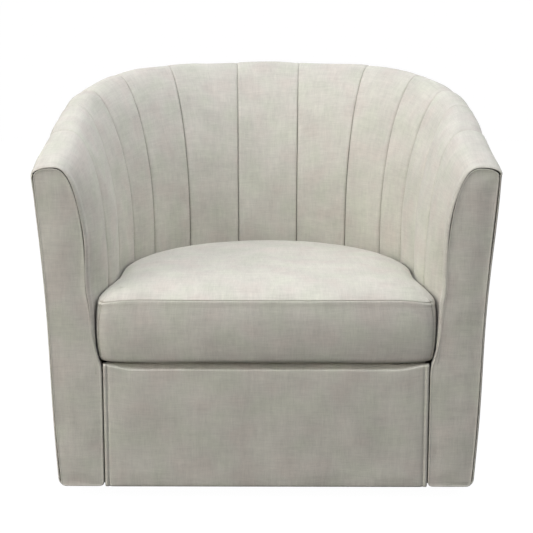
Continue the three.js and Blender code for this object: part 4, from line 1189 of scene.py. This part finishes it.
def cushion_rings(loop, inset, seams):
    """Rings round the cushion from its underside over its band to its top, and the number of the
    first and last ring of the band."""
    centre = np.array([0, CUSHION_MIDDLE_Y])
    direction = unit(loop - centre)
    reach = corner_distance(loop)
    droop = np.maximum(1 - reach / CORNER_DROOP_REACH, 0) ** CORNER_DROOP_POWER
    front = 1 - eased((loop[:, 1] - CUSHION_FRONT_Y - CUSHION_FRONT_BOW) / FRONT_EDGE_REACH)
    fade_start, fade_reach = FRONT_SAG_FADE
    sag = eased(reach / FRONT_SAG_START) * front
    sag = sag * (1 - FRONT_SAG_FADE_SHARE * eased((reach - fade_start) / fade_reach))
    forward = forward_share(direction)[:, None]

    def ring(shrink, side_share, sink=0.0, crown_share=0.0):
        plan = centre + (loop - centre) * (1 - shrink)
        plan = plan - direction * (sink * seams + inset + front_hollow(side_share) * forward)
        side = side_share * (CUSHION_HEIGHT + seam_rise(plan[:, 1]) - 2 * inset)
        near_top = math.exp(-max(shrink - TOP_SEAM_SHARE, 0) / DROOP_SPREAD_SHARE)
        near_foot = math.exp(-max(shrink - UNDER_SEAM_SHARE, 0) / SAG_SPREAD_SHARE)
        side = side - CORNER_DROOP * droop * side_share**3 * near_top
        side = side - FRONT_SAG * sag * (1 - side_share) ** 2 * near_foot
        z = CUSHION_BOTTOM_Z + inset + side + crown_share * CUSHION_CROWN
        return np.concatenate([plan, z[:, None]], 1)

    rings = [ring(*values) for values in UNDERSIDE_RINGS]
    band_start = len(rings) - 2
    most, widest, power = BAND_NARROWING
    for share in np.linspace(*BAND_SHARES, BAND_RINGS):
        rings.append(ring(most * abs(2 * share - widest) ** power, share))
    rings += [ring(*values) for values in TOP_SEAM_RINGS]
    band_end = len(rings) - 1
    rings += [ring(shrink, 1, 0, crown(shrink - TOP_SEAM_SHARE)) for shrink in CROWN_RINGS]
    return rings, (band_start, band_end)


def crown_cap(loop, inset, lively):
    """A function that gives the top's cap the crown's height."""
    centre = np.array([0, CUSHION_MIDDLE_Y])
    around = loop - centre
    order = np.argsort(np.arctan2(around[:, 1], around[:, 0]))
    angles = np.arctan2(around[:, 1], around[:, 0])[order]
    reach = np.linalg.norm(around, axis=1)[order]
    inward = (inset + front_hollow(1) * forward_share(unit(around)))[order]

    def shaped(grid):
        offset = grid[..., :2] - centre
        angle = np.arctan2(offset[..., 1], offset[..., 0])
        radius = np.interp(angle, angles, reach, period=2 * math.pi)
        drawn = np.interp(angle, angles, inward, period=2 * math.pi)
        shrink = 1 - (np.linalg.norm(offset, axis=-1) + drawn) / radius
        soft = lively * eased((shrink - CROWN_RINGS[-1]) / TOP_SOFT_REACH_SHARE)
        grid = grid.copy()
        grid[..., 2] = CUSHION_BOTTOM_Z + CUSHION_HEIGHT + seam_rise(grid[..., 1]) - inset
        grid[..., 2] += CUSHION_CROWN * crown(shrink - TOP_SEAM_SHARE)
        grid[..., 2] += soft * rippled(grid, TOP_SOFT)
        return grid

    return shaped


def build_cushion(name, node, inset, seams, material):
    sides = seat_outline(
        CUSHION_RADIUS, CUSHION_FRONT_Y, CUSHION_CORNER, CUSHION_FRONT_FLARE, CUSHION_FRONT_BOW,
        CUSHION_DRAW_IN,
    )
    loop = outline_loop(sides, CUSHION_ACROSS, CUSHION_SIDE, CORNER_FINE)
    rings, band = cushion_rings(loop, inset, seams)
    if seams:
        rings = corner_seams(rings, band)
    caps = (lambda grid: grid, crown_cap(loop, inset, seams))
    piece = capped(name, rings, CUSHION_ACROSS, CUSHION_SIDE, material, caps, band)
    stand_in(piece, node, "cushion")


def corner_seams(rings, band):
    """The band's two upright seams at the front corners, with the puckers beside them."""
    rings = np.array(rings)
    reach = corner_distance(rings[band[0]][:, :2])
    heights = (rings[:, :1, 2] - CUSHION_BOTTOM_Z) / CUSHION_HEIGHT
    upright = eased(heights / CORNER_FOOT_SHARE) * eased((1.0 - heights) / CORNER_TOP_SHARE)
    fall = CORNER_SEAM_DEPTH * np.exp(-((reach / CORNER_SEAM_WIDTH) ** 2))
    fall -= CORNER_LIP * np.exp(-(((reach - CORNER_LIP_PLACE) / CORNER_SEAM_WIDTH) ** 2))
    puckers = np.sin(rings[..., 2] / CORNER_PUCKER_PITCH * 2 * math.pi)
    puckers = CORNER_PUCKER * puckers * np.exp(-reach / CORNER_PUCKER_REACH)
    sink = (fall + puckers) * upright
    rings[..., :2] -= unit(rings[..., :2] - [0, CUSHION_MIDDLE_Y]) * sink[..., None]
    return list(rings)


# Deck pad and dust cover

DECK_FULLNESS = 0.006  # how far the deck's padding presses into the arms at its front corners
DECK_SIDE_GAP = 0.0015
DECK_FRONT_GAP = 0.0005
DECK_CORNER = 0.003
DECK_ACROSS = 40
DECK_SIDE = 34
DECK_FINE = (0.0012, 0.003, 0.008)
# How far each ring of the deck has narrowed, and its height, both as shares
DECK_RINGS = [
    (0.05, 0.0), (0.012, 0.0), (0.003, 0.12), (0.0005, 0.3), (0.0005, 0.5), (0.004, 0.72),
    (0.012, 0.86), (0.03, 0.95), (0.07, 0.985), (0.12, 0.995),
]
DECK_SOFT = Ripple(0.0005, 0.09, 61)
DUST_COVER_HOLE = 0.232  # radius of its opening round the swivel
DUST_COVER_RINGS = 9
DUST_COVER_POINTS = (60, 22, 44)  # of its outline, round its back, along a side and in front
DUST_COVER_MIDDLE = 0.0006  # half its thickness in the part
DUST_COVER_SAG = 0.0004


def build_deck_pad():
    low, high = (np.array(corner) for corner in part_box("deck_pad"))
    radius = SEAT.radius - CHANNEL_BULGE - DECK_SIDE_GAP
    flare = high[0] - radius + DECK_FULLNESS
    sides = seat_outline(radius, low[1] + DECK_FRONT_GAP, DECK_CORNER, flare, 0.0, 0.0)
    loop = outline_loop(sides, DECK_ACROSS, DECK_SIDE, DECK_FINE)
    centre = np.array([0, CUSHION_MIDDLE_Y])
    rings = []
    for shrink, share in DECK_RINGS:
        plan = centre + (loop - centre) * (1 - shrink)
        z = np.full((len(plan), 1), low[2] + share * (high[2] - low[2]))
        rings.append(np.concatenate([plan, z], 1))

    def quilted(grid):
        grid = grid.copy()
        grid[..., 2] -= DECK_SOFT.depth + rippled(grid, DECK_SOFT)
        return grid

    caps = (lambda grid: grid, quilted)
    piece = capped("padded_deck", rings, DECK_ACROSS, DECK_SIDE, DECK_CLOTH, caps, (1, 6))
    stand_in(piece, "deck_pad")


def build_dust_cover():
    low, high = (np.array(corner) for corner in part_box("dust_cover"))
    radius = high[0]
    round_y = high[1] - radius
    front = low[1]
    arc_points, side_points, front_points = DUST_COVER_POINTS
    angles = np.linspace(0, math.pi, arc_points)
    outline = [[radius * math.cos(a), round_y + radius * math.sin(a)] for a in angles]
    outline += [[-radius, y] for y in np.linspace(round_y, front, side_points)[1:]]
    outline += [[x, front] for x in np.linspace(-radius, radius, front_points)[1:]]
    outline += [[radius, y] for y in np.linspace(front, round_y, side_points)[1:-1]]
    outline = np.array(outline)
    centre = np.array([0, (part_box("base_disc")[0].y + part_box("base_disc")[1].y) / 2])
    inner = centre + unit(outline - centre) * DUST_COVER_HOLE
    shares = np.linspace(0, 1, DUST_COVER_RINGS)
    grid = np.array([mix(inner, outline, share) for share in shares])
    z = np.full(grid.shape[:2], low[2] + DUST_COVER_MIDDLE)
    z -= DUST_COVER_SAG * np.sin(shares * math.pi)[:, None]
    flat = np.concatenate([grid, z[..., None]], -1).reshape(-1, 3)
    indices = np.arange(len(flat)).reshape(DUST_COVER_RINGS, len(outline))
    faces = quads(np.concatenate([indices, indices[:, :1]], 1))
    piece = add_mesh("cloth_dust_cover", flat, faces, flat[faces][..., :2], BLACK_CLOTH)
    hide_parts("dust_cover")
    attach(piece, "shell")


# Finishes of the CAD nodes that stay in view, by the start of their names. The rest are plywood.
FINISHES = {
    "seat_spring": SPRING_STEEL, "bearing_plate": STEEL, "ball_cage": STEEL,
    "centre_rivet": STEEL, "base_screw": STEEL, "frame_bolt": STEEL,
    "glide": NYLON, "riser_board": BLACK_BOARD, "base_disc": BLACK_BOARD,
}


def finish_nodes():
    for name, node in nodes.items():
        if node.hide_render:
            continue
        found = [material for start, material in FINISHES.items() if name.startswith(start)]
        node.data.materials.clear()
        node.data.materials.append(found[0] if found else WOOD)


build_channels()
build_facing(-1, "arm_facing_left")
build_facing(1, "arm_facing_right")
build_apron()
build_covers()
build_cushion("cushion_case", "cushion_cover", 0.0, 1, FABRIC)
build_cushion("cushion_foam", "cushion_core", CASE_THICKNESS, 0, FOAM)
build_deck_pad()
build_dust_cover()
finish_nodes()


# Camera, light and stage

CAMERA_PLACE = (0.0157, -2.569, 0.793)
CAMERA_YAW = math.radians(0.381)
CAMERA_PITCH = math.radians(8.97)
CAMERA_LENS = 82.2
CAMERA_SENSOR = 36
LIGHT_TARGET = (0, 0, 0.45)
LIGHT_SIZE = (2.8, 2.8)
KEY_PLACE = (0, -1.0, 4.3)
KEY_POWER = 48
KEY_COLOUR = (0.950, 0.965, 1.11)
FILL_PLACE = (-3.6, -2.6, 1.7)
FILL_POWER = 96
FILL_COLOUR = (1.06, 1.0, 0.93)
AMBIENT_LEVEL = 0.05  # strength of the surround at the horizon and below
AMBIENT_TOP = 1.42  # and straight overhead
AMBIENT_COLOUR = (0.965, 0.965, 1.0)
STAGE_REACH = 12.0
STAGE_GLOW = 0.985


def add_camera():
    data = bpy.data.cameras.new("camera")
    data.lens = CAMERA_LENS
    data.sensor_width = CAMERA_SENSOR
    camera = bpy.data.objects.new("camera", data)
    camera.location = CAMERA_PLACE
    camera.rotation_euler = (math.pi / 2 - CAMERA_PITCH, 0, CAMERA_YAW)
    bpy.context.scene.collection.objects.link(camera)
    bpy.context.scene.camera = camera


def add_area_light(name, place, power, colour):
    data = bpy.data.lights.new(name, "AREA")
    data.color = colour
    data.shape = "RECTANGLE"
    data.size, data.size_y = LIGHT_SIZE
    data.energy = power
    light = bpy.data.objects.new(name, data)
    light.location = place
    aim = np.array(LIGHT_TARGET) - np.array(place)
    light.rotation_euler = Vector(aim).to_track_quat("-Z", "Y").to_euler()
    bpy.context.scene.collection.objects.link(light)


def add_world():
    """A soft surround that is brightest overhead."""
    world = bpy.data.worlds.new("studio")
    world.use_nodes = True
    n = Nodes(world.node_tree)
    direction = n.add("ShaderNodeTexCoord").outputs["Generated"]
    rise = n.add("ShaderNodeSeparateXYZ", {0: direction}).outputs["Z"]
    levels = {"Value": rise, "To Min": AMBIENT_LEVEL, "To Max": AMBIENT_TOP}
    background = world.node_tree.nodes["Background"]
    n.set_all(background, {
        "Color": (*AMBIENT_COLOUR, 1),
        "Strength": n.add("ShaderNodeMapRange", levels).outputs[0],
    })
    bpy.context.scene.world = world


def add_stage():
    """A white floor and four white walls that only the camera sees."""
    material, tree, shader = node_material("studio_white")
    Nodes(tree).set_all(shader, {
        "Base Color": (0.05, 0.05, 0.05, 1),
        "Roughness": 1.0,
        "Specular IOR Level": 0.0,
        "Emission Color": (1, 1, 1, 1),
        "Emission Strength": STAGE_GLOW,
    })
    reach = STAGE_REACH
    corners = [(-reach, -reach, 0), (reach, -reach, 0), (reach, reach, 0), (-reach, reach, 0)]
    surfaces = [("studio_floor", corners)]
    for number in range(4):
        low = [(x, y, -reach) for x, y, _ in (corners[number - 1], corners[number])]
        high = [(x, y, reach) for x, y, _ in (corners[number], corners[number - 1])]
        surfaces.append((f"studio_wall_{number + 1}", low + high))
    for name, points in surfaces:
        mesh = bpy.data.meshes.new(name)
        mesh.from_pydata(points, [], [(0, 1, 2, 3)])
        mesh.materials.append(material)
        plane = bpy.data.objects.new(name, mesh)
        plane.visible_diffuse = False
        plane.visible_glossy = False
        plane.visible_shadow = False
        bpy.context.scene.collection.objects.link(plane)


add_camera()
add_area_light("key", KEY_PLACE, KEY_POWER, KEY_COLOUR)
add_area_light("fill", FILL_PLACE, FILL_POWER, FILL_COLOUR)
add_world()
add_stage()
bpy.context.scene.view_settings.view_transform = "Standard"
